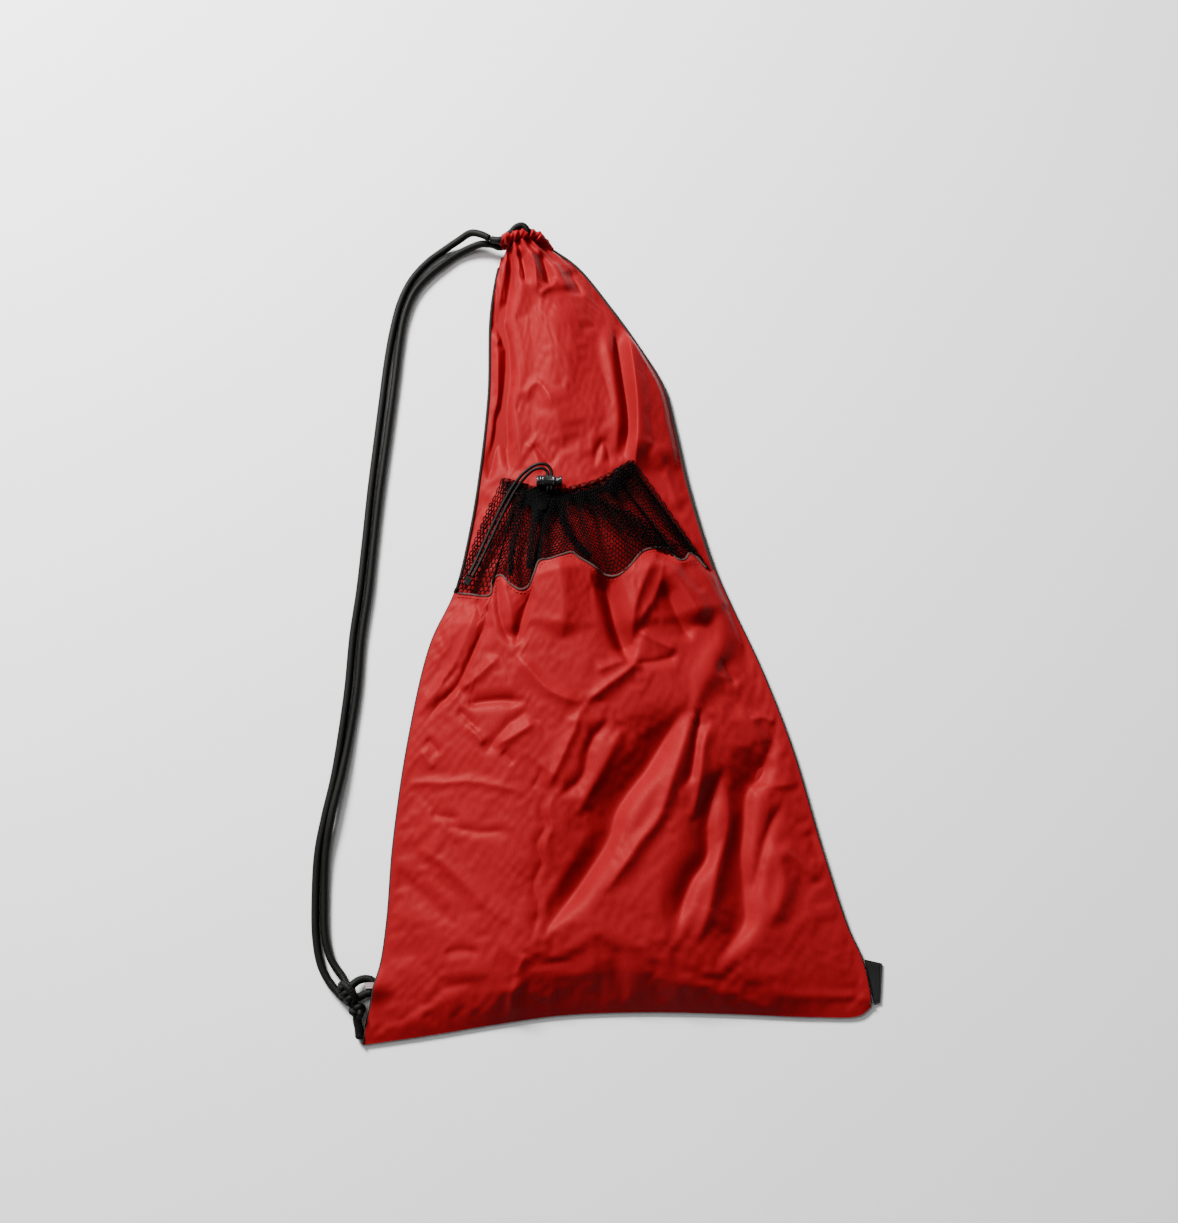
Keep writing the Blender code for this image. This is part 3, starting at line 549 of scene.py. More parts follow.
def tube(name, path, radius, material, sides=16, relief=None, round_ends=True):
    """A mesh tube round a path in metres; relief(angle, distance) is a share of the radius."""
    radius = radius * MM
    _, aside, up = frames_along(path)
    reach = length_along(path)
    angle = np.arange(sides) * 2 * math.pi / sides
    size = np.full((len(path), sides), radius)
    if relief:
        size = size * (1 + relief(angle[None, :], reach[:, None] / MM))
    if round_ends:
        ends = np.minimum(reach, reach[-1] - reach)
        inner = np.clip(1 - ends / (0.8 * radius), 0, 1)
        size = size * np.sqrt(1 - 0.9 * inner ** 2)[:, None]
    index = np.arange(size.size).reshape(size.shape)
    after = np.roll(index, -1, axis=1)
    faces = np.stack([index[:-1], after[:-1], after[1:], index[1:]], axis=-1)
    faces = faces.reshape(-1, 4).tolist()
    faces.append(index[0, ::-1].tolist())
    faces.append(index[-1].tolist())
    return smooth_object(name, rings(path, aside, up, size, angle), faces, material)


def braid(strands, pitch, depth):
    """Relief of a round braid: strands each way, and the pitch of its pattern."""
    def relief(angle, distance):
        turn = 2 * math.pi * distance / pitch
        return depth * np.cos(strands * angle + turn) * np.cos(strands * angle - turn)
    return relief


def joined(name, items):
    """Several mesh objects of one material as one piece."""
    whole = bmesh.new()
    material = items[0].data.materials[0]
    for item in items:
        part = item.data.copy()
        part.transform(item.matrix_world)
        whole.from_mesh(part)
        bpy.data.meshes.remove(part)
        bpy.data.objects.remove(item)
    return built(name, whole, material)


# ---- materials
class Nodes:
    """A material with a Principled shader, and short calls to add nodes to it."""

    def __init__(self, name, **sockets):
        self.material = bpy.data.materials.new(name)
        self.material.use_nodes = True
        self.tree = self.material.node_tree
        self.shader = self.tree.nodes["Principled BSDF"]
        self.where = self.add("ShaderNodeTexCoord").outputs["Object"]
        for socket, value in sockets.items():
            self.shader.inputs[socket.replace("_", " ")].default_value = value

    def add(self, kind, **values):
        """A node with these inputs, or properties where no input has the name."""
        node = self.tree.nodes.new(kind)
        for key, value in values.items():
            if key in node.inputs:
                self.feed(value, node.inputs[key])
            else:
                setattr(node, key, value)
        return node

    def feed(self, value, socket):
        """Links or sets an input."""
        if isinstance(value, bpy.types.NodeSocket):
            self.tree.links.new(value, socket)
        else:
            socket.default_value = value

    def noise(self, scale, detail, roughness, stretch=None):
        """Noise about the object, stretched where the scale of an axis is low."""
        where = self.where
        if stretch:
            where = self.add("ShaderNodeMapping", Vector=where, Scale=stretch).outputs[0]
        return self.add("ShaderNodeTexNoise", Vector=where, Scale=scale, Detail=detail,
                        Roughness=roughness).outputs["Fac"]

    def waves(self, period, direction):
        """Bands with a period in millimetres across a direction X, Y, Z or DIAGONAL."""
        return self.add("ShaderNodeTexWave", Vector=self.where, bands_direction=direction,
                        Scale=2 * math.pi / (20 * period * MM)).outputs["Fac"]

    def maths(self, operation, first, second):
        """A sum or a product of two values."""
        node = self.tree.nodes.new("ShaderNodeMath")
        node.operation = operation
        self.feed(first, node.inputs[0])
        self.feed(second, node.inputs[1])
        return node.outputs[0]

    def spread(self, value, low, high, low_to, high_to):
        """A value from one range moved to another."""
        node = self.tree.nodes.new("ShaderNodeMapRange")
        for socket, number in zip(node.inputs, (value, low, high, low_to, high_to)):
            self.feed(number, socket)
        return node.outputs[0]

    def blend(self, share, first, second):
        """A colour between two."""
        node = self.tree.nodes.new("ShaderNodeMix")
        node.data_type = "RGBA"
        inputs = [s for s in node.inputs if s.enabled]
        for socket, value in zip(inputs, (share, first, second)):
            self.feed(value, socket)
        return [s for s in node.outputs if s.enabled][0]

    def bump(self, height, distance, under=None):
        """Relief, distance millimetres deep, over the normal of another relief."""
        node = self.add("ShaderNodeBump", Height=height, Distance=distance * MM, Strength=1.0)
        if under:
            self.feed(under, node.inputs["Normal"])
        return node.outputs["Normal"]

    def finish(self, colour, roughness, normal=None):
        """Feeds the shader and gives the material."""
        for value, socket in ((colour, "Base Color"), (roughness, "Roughness"),
                              (normal, "Normal")):
            if value is not None:
                self.feed(value, self.shader.inputs[socket])
        return self.material


def polyester(name, bright, deep, roughness):
    """Thin coated polyester: fine plain weave, faint cloudiness and a satin sheen."""
    made = Nodes(name, Specular_IOR_Level=0.12, Specular_Tint=(1.0, 0.2, 0.17, 1))
    cloud = made.noise(14.0, 4.0, 0.6)
    threads = made.noise(900.0, 2.0, 0.5, stretch=(1.0, 0.25, 1.0))
    cross = made.noise(900.0, 2.0, 0.5, stretch=(0.25, 1.0, 1.0))
    weave = made.maths("MULTIPLY", made.waves(0.7, "X"), made.waves(0.7, "Y"))
    tone = made.spread(made.maths("ADD", cloud, made.maths("MULTIPLY", threads, 0.35)),
                       0.45, 0.9, 0.0, 1.0)
    colour = made.blend(tone, deep, bright)
    rough = made.spread(made.maths("ADD", cloud, cross), 0.7, 1.3, roughness - 0.05,
                        roughness + 0.07)
    creased = made.bump(made.noise(90.0, 4.0, 0.6), 0.07)
    return made.finish(colour, rough, made.bump(weave, 0.02, creased))


def cord_material(name, dark, light, roughness, grain, shine=0.14):
    """Braided filament: dark, matt, with paler threads catching the light."""
    made = Nodes(name, Specular_IOR_Level=shine)
    fibre = made.noise(grain, 3.0, 0.6)
    colour = made.blend(made.spread(fibre, 0.5, 0.72, 0.0, 1.0), dark, light)
    return made.finish(colour, made.spread(fibre, 0.3, 0.7, roughness, roughness + 0.2),
                       made.bump(fibre, 0.12))


def plastic(name, colour, roughness, shine):
    """Moulded acetal with faint flow marks and handling scratches."""
    made = Nodes(name, Specular_IOR_Level=shine)
    marks = made.noise(220.0, 4.0, 0.6, stretch=(0.2, 1.0, 1.0))
    tone = made.blend(made.spread(marks, 0.4, 0.75, 0.0, 1.0), colour,
                      tuple(min(1.0, c * 1.7 + 0.004) for c in colour[:3]) + (1,))
    return made.finish(tone, made.spread(marks, 0.35, 0.7, roughness, roughness + 0.14),
                       made.bump(marks, 0.02))


def wire(name):
    """Drawn steel, with fine marks along it."""
    made = Nodes(name, Metallic=1.0)
    drawn = made.noise(800.0, 2.0, 0.5, stretch=(0.2, 1.0, 1.0))
    colour = made.blend(drawn, (0.35, 0.35, 0.36, 1), (0.62, 0.62, 0.63, 1))
    return made.finish(colour, made.spread(drawn, 0.3, 0.7, 0.22, 0.4))


def webbing(name, dark, light, period, direction="Y"):
    """Woven tape: ribs across it, with a little fuzz."""
    made = Nodes(name, Specular_IOR_Level=0.2, Sheen_Weight=0.05)
    ribs = made.waves(period, direction)
    fuzz = made.noise(1300.0, 3.0, 0.6)
    tone = made.maths("ADD", made.maths("MULTIPLY", ribs, 0.7), made.maths("MULTIPLY", fuzz, 0.5))
    colour = made.blend(made.spread(tone, 0.2, 1.0, 0.0, 1.0), dark, light)
    return made.finish(colour, made.spread(fuzz, 0.3, 0.7, 0.7, 0.9),
                       made.bump(tone, 0.15))


def label_cloth(name):
    """Dense woven satin, blank, with faint cloudiness."""
    made = Nodes(name, Specular_IOR_Level=0.2)
    threads = made.maths("MULTIPLY", made.waves(0.5, "X"), made.waves(0.5, "Y"))
    cloud = made.noise(60.0, 3.0, 0.6)
    colour = made.blend(made.spread(made.maths("ADD", threads, cloud), 0.3, 1.4, 0.0, 1.0),
                        (0.0015, 0.0015, 0.0015, 1), (0.009, 0.009, 0.009, 1))
    return made.finish(colour, made.spread(cloud, 0.3, 0.7, 0.45, 0.65),
                       made.bump(threads, 0.08))


def floor_material():
    """Near-white paper."""
    made = Nodes("floor_paper")
    grain = made.noise(6.0, 3.0, 0.5)
    return made.finish(made.blend(grain, (0.93, 0.93, 0.93, 1), (0.96, 0.96, 0.96, 1)), 0.9)


RED_CLOTH = polyester("red_polyester_cloth", (0.235, 0.0070, 0.0108, 1),
                      (0.19, 0.0048, 0.0078, 1), 0.46)
# The hem's red cloth, painted far darker: painted shade in its gathers
SHADED_HEM_CLOTH = polyester("red_polyester_painted_shade", (0.05, 0.0015, 0.002, 1),
                       (0.02, 0.001, 0.001, 1), 0.5)
NET = cord_material("knitted_net", (0.001, 0.001, 0.001, 1), (0.006, 0.005, 0.005, 1), 0.5,
                    1500.0, 0.03)
BRAID = cord_material("braided_cord", (0.0012, 0.0012, 0.0008, 1), (0.009, 0.009, 0.006, 1), 0.5,
                      1600.0)
ELASTIC = cord_material("covered_elastic", (0.0015, 0.0015, 0.0015, 1),
                        (0.012, 0.012, 0.010, 1), 0.42, 2400.0)
PLASTIC = plastic("moulded_black", (0.007, 0.007, 0.007, 1), 0.12, 0.8)
TIP_PLASTIC = plastic("crimped_tip", (0.002, 0.002, 0.002, 1), 0.5, 0.1)
STEEL = wire("spring_wire")
TAPE = webbing("seam_tape", (0.008, 0.005, 0.004, 1), (0.026, 0.012, 0.010, 1), 1.1)
BINDING = webbing("pocket_binding", (0.03, 0.008, 0.008, 1), (0.10, 0.045, 0.04, 1), 0.9, "X")
TAB_CLOTH = webbing("tab_webbing", (0.16, 0.10, 0.10, 1), (0.42, 0.33, 0.33, 1), 1.0)
LABEL = label_cloth("woven_label_cloth")
THREAD = cord_material("sewing_thread", (0.28, 0.012, 0.012, 1), (0.42, 0.04, 0.04, 1), 0.5,
                       3000.0)


# ---- camera, light and floor
CAMERA_PLACE, CAMERA_TILT, CAMERA_LENS = (-0.0215, -0.2626, 1.0673), 14, 48.7
# Each light: name, place, target, size and power, in metres and watts
LIGHTS = [
    ("key_light", (-0.95, 1.2, 1.1), (-0.05, -0.05, 0), 0.5, 116.0),
    ("fill_light", (0.9, -0.9, 1.5), (0, 0, 0), 1.6, 1.5),
    ("top_light", (-0.7, 0.4, 1.9), (0, 0, 0), 1.0, 11.0),
]
WORLD_LIGHT = 0.1
FLOOR_REACH, FLOOR_DROP = 12.0, 0.4 * MM


def make_stage():
    """The camera, the lights, the world and the floor."""
    camera = bpy.data.objects.new("Camera", bpy.data.cameras.new("Camera"))
    camera.data.lens = CAMERA_LENS
    camera.location = CAMERA_PLACE
    camera.rotation_euler = (math.radians(CAMERA_TILT), 0, 0)
    bpy.context.scene.collection.objects.link(camera)
    bpy.context.scene.camera = camera

    for name, place, target, size, power in LIGHTS:
        lamp = bpy.data.lights.new(name, "AREA")
        lamp.shape = "SQUARE"
        lamp.size = size
        lamp.energy = power
        item = bpy.data.objects.new(name, lamp)
        item.location = place
        item.rotation_euler = (Vector(target) - Vector(place)).to_track_quat("-Z", "Y").to_euler()
        bpy.context.scene.collection.objects.link(item)

    world = bpy.data.worlds.new("studio")
    world.use_nodes = True
    glow = world.node_tree.nodes["Background"].inputs
    glow["Color"].default_value = (1, 1, 1, 1)
    glow["Strength"].default_value = WORLD_LIGHT
    bpy.context.scene.world = world

    sheet = bmesh.new()
    bmesh.ops.create_grid(sheet, x_segments=1, y_segments=1, size=FLOOR_REACH)
    floor = built("floor", sheet, floor_material())
    floor.location.z = -FLOOR_DROP


# ---- cords and knots
def route(points, step):
    """An evenly spaced path in metres through a given route, a point each step mm."""
    line = on_plan(smooth(points))
    count = max(int(length_along(line)[-1] / (step * MM)), 8)
    return even(line, count)


def knot_coil(middle, heading, radius, turns, pitch):
    """A helix of cord about a line on the plan, in millimetres."""
    ahead = np.array(heading, float) / np.linalg.norm(heading)
    aside = np.cross(ahead, [0, 0, 1.0])
    aside /= np.linalg.norm(aside)
    up = np.cross(aside, ahead)
    t = np.linspace(0, 1, int(40 * turns))
    angle = 2 * math.pi * turns * t
    along = (t - 0.5) * turns * pitch
    inward = radius * (1 - 0.35 * np.clip(np.abs(2 * t - 1) - 0.8, 0, 1) / 0.2)
    return (np.array(middle) + along[:, None] * ahead
            + inward[:, None] * (np.cos(angle)[:, None] * aside + np.sin(angle)[:, None] * up))


def overhand(middle, size, depth, turn):
    """An overhand knot's closed line, in millimetres, turned on the plan by degrees."""
    t = np.linspace(0, 2 * math.pi, 120)
    flat = np.stack([np.sin(t) + 2 * np.sin(2 * t), np.cos(t) - 2 * np.cos(2 * t)], axis=1) * size
    c, s = math.cos(math.radians(turn)), math.sin(math.radians(turn))
    return np.stack([middle[0] + c * flat[:, 0] - s * flat[:, 1],
                     middle[1] + s * flat[:, 0] + c * flat[:, 1],
                     middle[2] - depth * np.sin(3 * t)], axis=1)


CORD_BRAID = braid(4, 3.4, 0.075)
ELASTIC_BRAID = braid(3, 1.6, 0.06)


def strand(name, line, radius, round_ends=True):
    """A strand of the strap's cord within a knot."""
    return tube(name, on_plan(line), radius, BRAID, 16, CORD_BRAID, round_ends)


def strap_knots():
    """The hitch, the stopper knot, the bare tail and the loop through the tab."""
    hitch = joined("hitch_knot", [
        strand("hitch_wraps", knot_coil(HITCH_PLACE, (11, -13, 0), 3.0, 2.6, 4.1), 2.35),
        strand("hitch_cross", smooth([(-179.5, -239, 5.2), (-176.5, -238.2, 9.0),
                                      (-172.4, -241.4, 10.8), (-169.6, -246.4, 9.0),
                                      (-170.5, -250.0, 5.5)]), 2.3),
        strand("lead_outer", smooth([(-187, -235.5, 2.9), (-181.7, -242, 3.8),
                                     (-176.5, -247, 5.0), (-171, -250.5, 5.6)]), 2.35),
        strand("lead_inner", smooth([(-181.5, -229, 3.3), (-178.2, -233.2, 4.2),
                                     (-175.2, -238.5, 5.8), (-173, -244, 6.4)]), 2.35)])
    stopper = joined("stopper_knot", [
        strand("stopper_loop", overhand(STOPPER_PLACE, 1.15, 1.9, 15), 2.15, round_ends=False),
        strand("stopper_stem", smooth([(-171.5, -248, 6), (-169.5, -251, 5.8),
                                       (-168, -255, 5.2), (-168, -260, 4.4)]), 2.4)])
    tail = tube("cord_tail", route(STRAP_TAIL, 0.5), TAIL_RADIUS, BRAID, 20, CORD_BRAID)
    loop = tube("tab_loop", route(KNOT_LOOP, 0.6), CORD_RADIUS, BRAID, 18, CORD_BRAID)
    return hitch, stopper, tail, loop


def lay_cord(name, points, step, radius, material, sides, relief):
    """A free cord along its route."""
    path = route(points, step)
    item = tube(name, path, radius, material, sides, relief)
    return item


def make_strap():
    """The strap's two strands, and the knots at their ends."""
    hitch, stopper, tail, loop = strap_knots()
    for piece, node in ((hitch, "strap_hitch"), (stopper, "strap_stopper_knot"),
                        (tail, "strap_tail"), (loop, "knot_loop")):
        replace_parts(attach(piece, "root"), node)
    for name, points, node, pieces in (
            ("strap_cord_outer", STRAP_OUTER, "strap_outer", [hitch, stopper, tail]),
            ("strap_cord_inner", STRAP_INNER, "strap_inner", [loop])):
        item = lay_cord(name, points, 0.75, CORD_RADIUS, BRAID, 18, CORD_BRAID)
        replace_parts(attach(item, "strap"), node)


def make_drawcord():
    """The drawcord in its channel, and the small turn of it that shows at the tip."""
    inside = tube("cord_inside", route(CHANNEL_CORD, 0.6), 2.45, BRAID, 18, CORD_BRAID)
    shown = tube("cord_shown", route(CORD_EYELET_LOOP, 0.5), 2.3, BRAID, 18, CORD_BRAID)
    item = joined("drawcord_in_channel", [inside, shown])
    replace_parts(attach(item, "root"), "drawcord")


def make_crimp():
    """The crimped tip that holds both ends of the elastic, waisted where it is pressed."""
    block = bmesh.new()
    bmesh.ops.create_cube(block, size=1.0)
    bmesh.ops.subdivide_edges(block, edges=block.edges[:], cuts=5, use_grid_fill=True)
    for corner in block.verts:
        x, y, z = corner.co
        waist = 1 - 0.14 * math.cos(2 * math.pi * y) ** 2 * (abs(y) < 0.3)
        taper = 1 - 0.35 * max(0.0, -y - 0.1)
        corner.co = (x * 4.6 * waist * taper, y * 5.5, z * 2.6 * waist)
    block.transform(Matrix.Scale(MM, 4))
    tip = built("elastic_crimp", block, TIP_PLASTIC)
    tip.location = on_plan(TIP_PLACE)
    tip.rotation_euler.z = math.radians(TIP_TURN)
    fine = tip.modifiers.new("Subdivision", "SUBSURF")
    fine.levels = fine.render_levels = 2
    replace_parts(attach(tip, "root"), "elastic_tip")
    return tip


def make_elastic():
    """The elastic's two free ends, which bend from the band to the lock."""
    tip = make_crimp()
    start, end = on_plan((-84.0, 58.0, 13.0)), on_plan((-64.0, 92.0, 20.0))
    for name, points, node, far_end, pieces in (
            ("elastic_end_left", TAIL_LEFT, "elastic_tail_left", "fitting", [tip]),
            ("elastic_end_right", TAIL_RIGHT, "elastic_tail_right", "object", [])):
        item = lay_cord(name, points, 0.5, ELASTIC_RADIUS, ELASTIC, 12, ELASTIC_BRAID)
        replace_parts(item, node)
        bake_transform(item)
        # a short stub stays in the hem when the lock takes the free end along
        stub = tube(name.replace("end", "root"), route(points[:5], 0.5), ELASTIC_RADIUS * 0.75,
                    ELASTIC, 12, ELASTIC_BRAID)
        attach(stub, "root")
    for node in ("pocket_elastic_left", "pocket_elastic_right"):
        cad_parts[node].data.materials.clear()
        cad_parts[node].data.materials.append(ELASTIC)


# ---- cloth simulation
SETTLE_FRAMES = 25
LOOSE_PIN = 0.05                          # how firmly the sheet keeps to its shape inside its border


def settle(name, plan, height, spare, cap):
    """Lets a sheet with a share of spare cloth buckle about its shape.

    Gives the offsets in millimetres, none longer than cap."""
    rows, columns = height.shape
    start = on_plan(lifted(plan, height))
    item = grid_object(name, start, RED_CLOTH)
    held = item.vertex_groups.new(name="held")
    border = np.zeros((rows, columns), bool)
    border[0] = border[-1] = border[:, 0] = border[:, -1] = True
    held.add(np.flatnonzero(border.ravel()).tolist(), 1.0, "REPLACE")
    held.add(np.flatnonzero(~border.ravel()).tolist(), LOOSE_PIN, "REPLACE")
    cloth = item.modifiers.new("Cloth", "CLOTH")
    how = cloth.settings
    how.quality = 7
    how.mass = 0.06
    how.tension_stiffness = how.compression_stiffness = 18
    how.shear_stiffness = 6
    how.bending_stiffness = 0.012
    how.air_damping = 3
    how.vertex_group_mass = "held"
    how.pin_stiffness = 0.6
    how.shrink_min = -spare
    how.effector_weights.gravity = 0
    cloth.collision_settings.use_collision = False
    cloth.collision_settings.use_self_collision = False
    scene = bpy.context.scene
    for number in range(1, SETTLE_FRAMES + 1):
        scene.frame_set(number)
    graph = bpy.context.evaluated_depsgraph_get()
    result = item.evaluated_get(graph).to_mesh()
    end = np.zeros(rows * columns * 3)
    result.vertices.foreach_get("co", end)
    offset = (end.reshape(rows, columns, 3) - start) / MM
    size = np.linalg.norm(offset, axis=-1, keepdims=True)
    mesh = item.data
    bpy.data.objects.remove(item)
    bpy.data.meshes.remove(mesh)
    scene.frame_set(1)
    return offset * np.minimum(1, cap / np.maximum(size, 1e-6))


def widen(field, rows, columns):
    """A grid of offsets read again on a finer grid, smoothly."""
    def along(values, count):
        """Catmull-Rom between the rows."""
        at = np.linspace(0, len(values) - 1, count)
        low = np.clip(at.astype(int), 0, len(values) - 2)
        t = (at - low).reshape((-1,) + (1,) * (values.ndim - 1))
        p0, p1 = values[np.maximum(low - 1, 0)], values[low]
        p2, p3 = values[low + 1], values[np.minimum(low + 2, len(values) - 1)]
        return 0.5 * (2 * p1 + (p2 - p0) * t + (2 * p0 - 5 * p1 + 4 * p2 - p3) * t ** 2
                      + (3 * p1 - p0 - 3 * p2 + p3) * t ** 3)
    field = along(field, rows)
    return np.swapaxes(along(np.swapaxes(field, 0, 1), columns), 0, 1)


# ---- the sack's cloth
SEAM_LINE = even(smooth(SCALLOPS), 300)
SEAM_U, SEAM_V = shares_at(SEAM_LINE)


def inset(s, v):
    """The share u for a share s of the width inside the seams."""
    edge = EDGE_INSET / np.linalg.norm(read(RIGHT, v) - read(LEFT, v), axis=-1)
    return mix(edge, 1 - edge, s)


def seam_v(u):
    """The share v of the scalloped seam at u."""
    order = np.argsort(SEAM_U)
    return np.interp(u, SEAM_U[order], SEAM_V[order])


def mouth_gathers(u, v):
    """Gathers that deepen towards the drawn mouth."""
    near = ease((v - 0.86) / 0.14)
    return near * 1.9 * np.cos(2 * math.pi * (5.5 * u + 0.15 * np.sin(9 * v))) * (0.3 + 0.7 * near)


def pocket_surface(s, t):
    """Plan and height of the pocket's cloth, with its folds, before the simulation."""
    v = t * 0.525 + (seam_v(s) - 0.526) * t ** 6
    u = inset(s, v)
    plan = sack_plan(u, v)
    calm = ease(np.minimum(u, 1 - u) / 0.03) * ease(v / 0.02)
    height = pocket_height(u, v) + calm * FOLD_SHARE * folds_rise(plan, POCKET_FOLDS)
    return plan, turned_under(plan, height) + tab_hump(plan), calm


def front_surface(s, t):
    """Plan and height of the front cloth, lowered where the pocket hides it."""
    v = t * CLOTH_END
    u = inset(s, v)
    plan = sack_plan(u, v)
    calm = ease(np.minimum(u, 1 - u) / 0.05)
    above = ease((v - 0.50) / 0.06)
    height = front_height(u, v) + calm * above * (folds_rise(plan, FRONT_FOLDS)
                                                  + mouth_gathers(u, v))
    under = (1 - above) * np.minimum(3.5, 0.3 * (height - 1.6))
    under += ease((0.48 - v) / 0.1) * np.minimum(5.0, 0.35 * (height - 1.6))
    height = turned_under(plan, height - under) + tab_hump(plan) - 0.6 * (1 - above)
    return plan, height, calm * above


def settled_cloth(name, surface, coarse, fine, spare, cap, relief, lowest):
    """A sheet over surface(s, t): simulated on a coarse grid, then made on a fine one."""
    plan, height, _ = surface(*share_grid(*coarse))
    offset = settle(name + "_trial", plan, height, spare, cap)
    plan, height, calm = surface(*share_grid(*fine))
    offset = widen(offset, fine[1], fine[0])
    places = lifted(plan, height + calm * relief(plan)) + offset * calm[..., None]
    places[..., 2] = np.maximum(places[..., 2], lowest)
    return grid_object(name, on_plan(places), RED_CLOTH)


def pocket_relief(plan):
    """Fine crumple of the pocket's cloth at plan points."""
    return (facets(plan, 5, 34, 0.09) + facets(plan, 9, 12, 0.01)
            + crumple_rise(plan, 6, 110, (-160, -262), (150, -60), 55, 0.26))


def front_relief(plan):
    """Fine crumple of the front cloth at plan points."""
    return (facets(plan, 15, 34, 0.06) + facets(plan, 19, 12, 0.012)
            + crumple_rise(plan, 8, 40, (-110, 90), (50, 262), 80, 0.2))


def make_pocket_cloth():
    """The pocket's cloth, gathered on the front cloth."""
    item = settled_cloth("pocket_cloth", pocket_surface, (74, 72), (230, 230), 0.005, 4.0,
                         pocket_relief, 2.2)
    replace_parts(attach(item, "root"), "pocket_panel")


def make_front_cloth():
    """The front cloth, from the bottom seam up to the mouth."""
    item = settled_cloth("front_cloth", front_surface, (50, 120), (190, 380), 0.0025, 3.0,
                         front_relief, 1.6)
    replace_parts(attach(item, "root"), "front_panel")


def make_back_cloth():
    """The back, flat on the floor but for its edge over the tab."""
    s, t = share_grid(90, 160)
    v = t * CLOTH_END
    plan = sack_plan(inset(s, v), v)
    rise = 0.55 + folds_rise(plan, BACK_FOLDS) + facets(plan, 25, 34, 0.16)
    places = on_plan(lifted(plan, np.clip(rise, 0.05, 1.2) + tab_hump(plan) * 0.95))
    item = grid_object("back_cloth", places[:, ::-1], RED_CLOTH)
    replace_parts(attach(item, "root"), "back_panel")


def make_side_tapes():
    """Binding over the layers' edges: ribbed, and rounded over its edge."""
    wide, tall, rib, middle = 1.15, 1.75, 0.09, 1.9
    angle = np.linspace(-0.5 * math.pi, 1.5 * math.pi, 15)[None, :]
    for name, node, side, inward in (("left_binding", "left_seam_tape", LEFT, 1),
                                     ("right_binding", "right_seam_tape", RIGHT, -1)):
        line = read(side, np.linspace(0.002, 0.972, 620))
        ahead = unit_ahead(line)
        aside = np.stack([ahead[:, 1], -ahead[:, 0]], axis=1) * inward
        ribs = rib * np.cos(np.arange(len(line)) * math.pi)[:, None]
        across = (1.0 - np.cos(angle) * (wide + ribs)) - 0.15
        up = middle + np.sin(angle) * (tall + ribs) + tab_hump(line)[:, None]
        plan = line[:, None] + across[..., None] * aside[:, None]
        item = grid_object(name, on_plan(lifted(plan, up)), TAPE)
        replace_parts(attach(item, "root"), node)


# ---- pocket mesh
BAND_HEM = even(smooth(BAND_TOP), 300)
BAND_BOW = 1.5                            # how far the band bulges half way up


def net_pleats(s, t):
    """Small pleats that the elastic draws into the net, deepest at the hem."""
    return (0.5 + 1.1 * t) * np.sin(2 * math.pi * 13 * s + 2.2 * np.sin(7 * s)) * ease(4 * (1 - t))


def band_place(s, t):
    """Place on the mesh band: s along it, t from the scalloped seam to the hem."""
    seam = read(SEAM_LINE, s)
    place = mix(lifted(seam, pocket_top(seam)), read(BAND_HEM, s), t[..., None])
    place[..., 2] += BAND_BOW * np.sin(math.pi * t)
    place[..., 2] += net_pleats(s, t)
    return place


def net_patch(name, place, wide, tall, cell):
    """Hexagonal net over place(s, t); wide, tall and cell are in millimetres."""
    columns, rows = max(int(wide / cell), 2), max(int(tall / (cell * 0.87)), 2)
    net = bmesh.new()
    corner = {}

    def vertex(x, y):
        key = (round(x * 4), round(y * 12))
        if key not in corner:
            corner[key] = net.verts.new((x / columns, y / rows, 0))
        return corner[key]

    for j in range(rows):
        for i in range(columns - 1 if j % 2 else columns):
            x, y = i + 0.5 + 0.5 * (j % 2), j + 0.5
            ring = [(x, y + 2 / 3), (x + 0.5, y + 1 / 3), (x + 0.5, y - 1 / 3),
                    (x, y - 2 / 3), (x - 0.5, y - 1 / 3), (x - 0.5, y + 1 / 3)]
            net.faces.new([vertex(*point) for point in ring])
    shares = np.clip([v.co[:2] for v in net.verts], 0, 1)
    places = on_plan(place(shares[:, 0], shares[:, 1]))
    for v, spot in zip(net.verts, places):
        v.co = spot
    item = built(name, net, NET)
    strands = item.modifiers.new("Strands", "WIREFRAME")
    strands.thickness = NET_STRAND * MM
    strands.use_replace = True
    strands.use_even_offset = False
    strands.use_boundary = True
    return item


# Where the net lies doubled: points x, y and width along each fold, then its layers
NET_FOLDS = [
    ([(-57, 85, 32), (-54, 77, 28), (-53, 68, 13)], 4),
    ([(-60, 84, 20), (-56, 74, 14), (-57, 60, 6)], 2),
    ([(-1, 97, 8), (-4, 90, 11), (-10, 80, 9)], 2),
    ([(-46, 80, 7), (-42, 66, 5), (-36, 50, 4.5), (-23, 35, 3)], 2),
    ([(-54, 80, 6), (-59, 62, 5), (-62, 42, 4), (-63, 28, 3)], 2),
    ([(-66, 82, 6), (-71, 62, 5), (-74, 44, 4), (-75, 24, 3)], 2),
    ([(-38, 82, 8), (-12, 68, 13), (14, 52, 14), (34, 42, 8)], 1),
    ([(-34, 84, 4), (-12, 73, 5), (10, 60, 6), (24, 50, 5)], 1),
    ([(-82, 86, 7), (-72, 82, 8), (-62, 78, 9), (-50, 75, 11), (-36, 77, 10), (-20, 82, 9),
      (-6, 92, 9), (5, 100, 7)], 1),
    ([(-88, 76, 4), (-97, 54, 4), (-108, 22, 3)], 1),
    ([(4, 98, 5), (20, 74, 5), (44, 42, 4)], 1),
]


def net_height(plan):
    """Height of the net's folds: on the pocket's cloth low down, level near the hem."""
    up = ease((plan[..., 1] - 30) / 55)
    return mix(pocket_top(plan, 1 - up), np.minimum(pocket_height(*shares_at(plan)), 17.8), up)


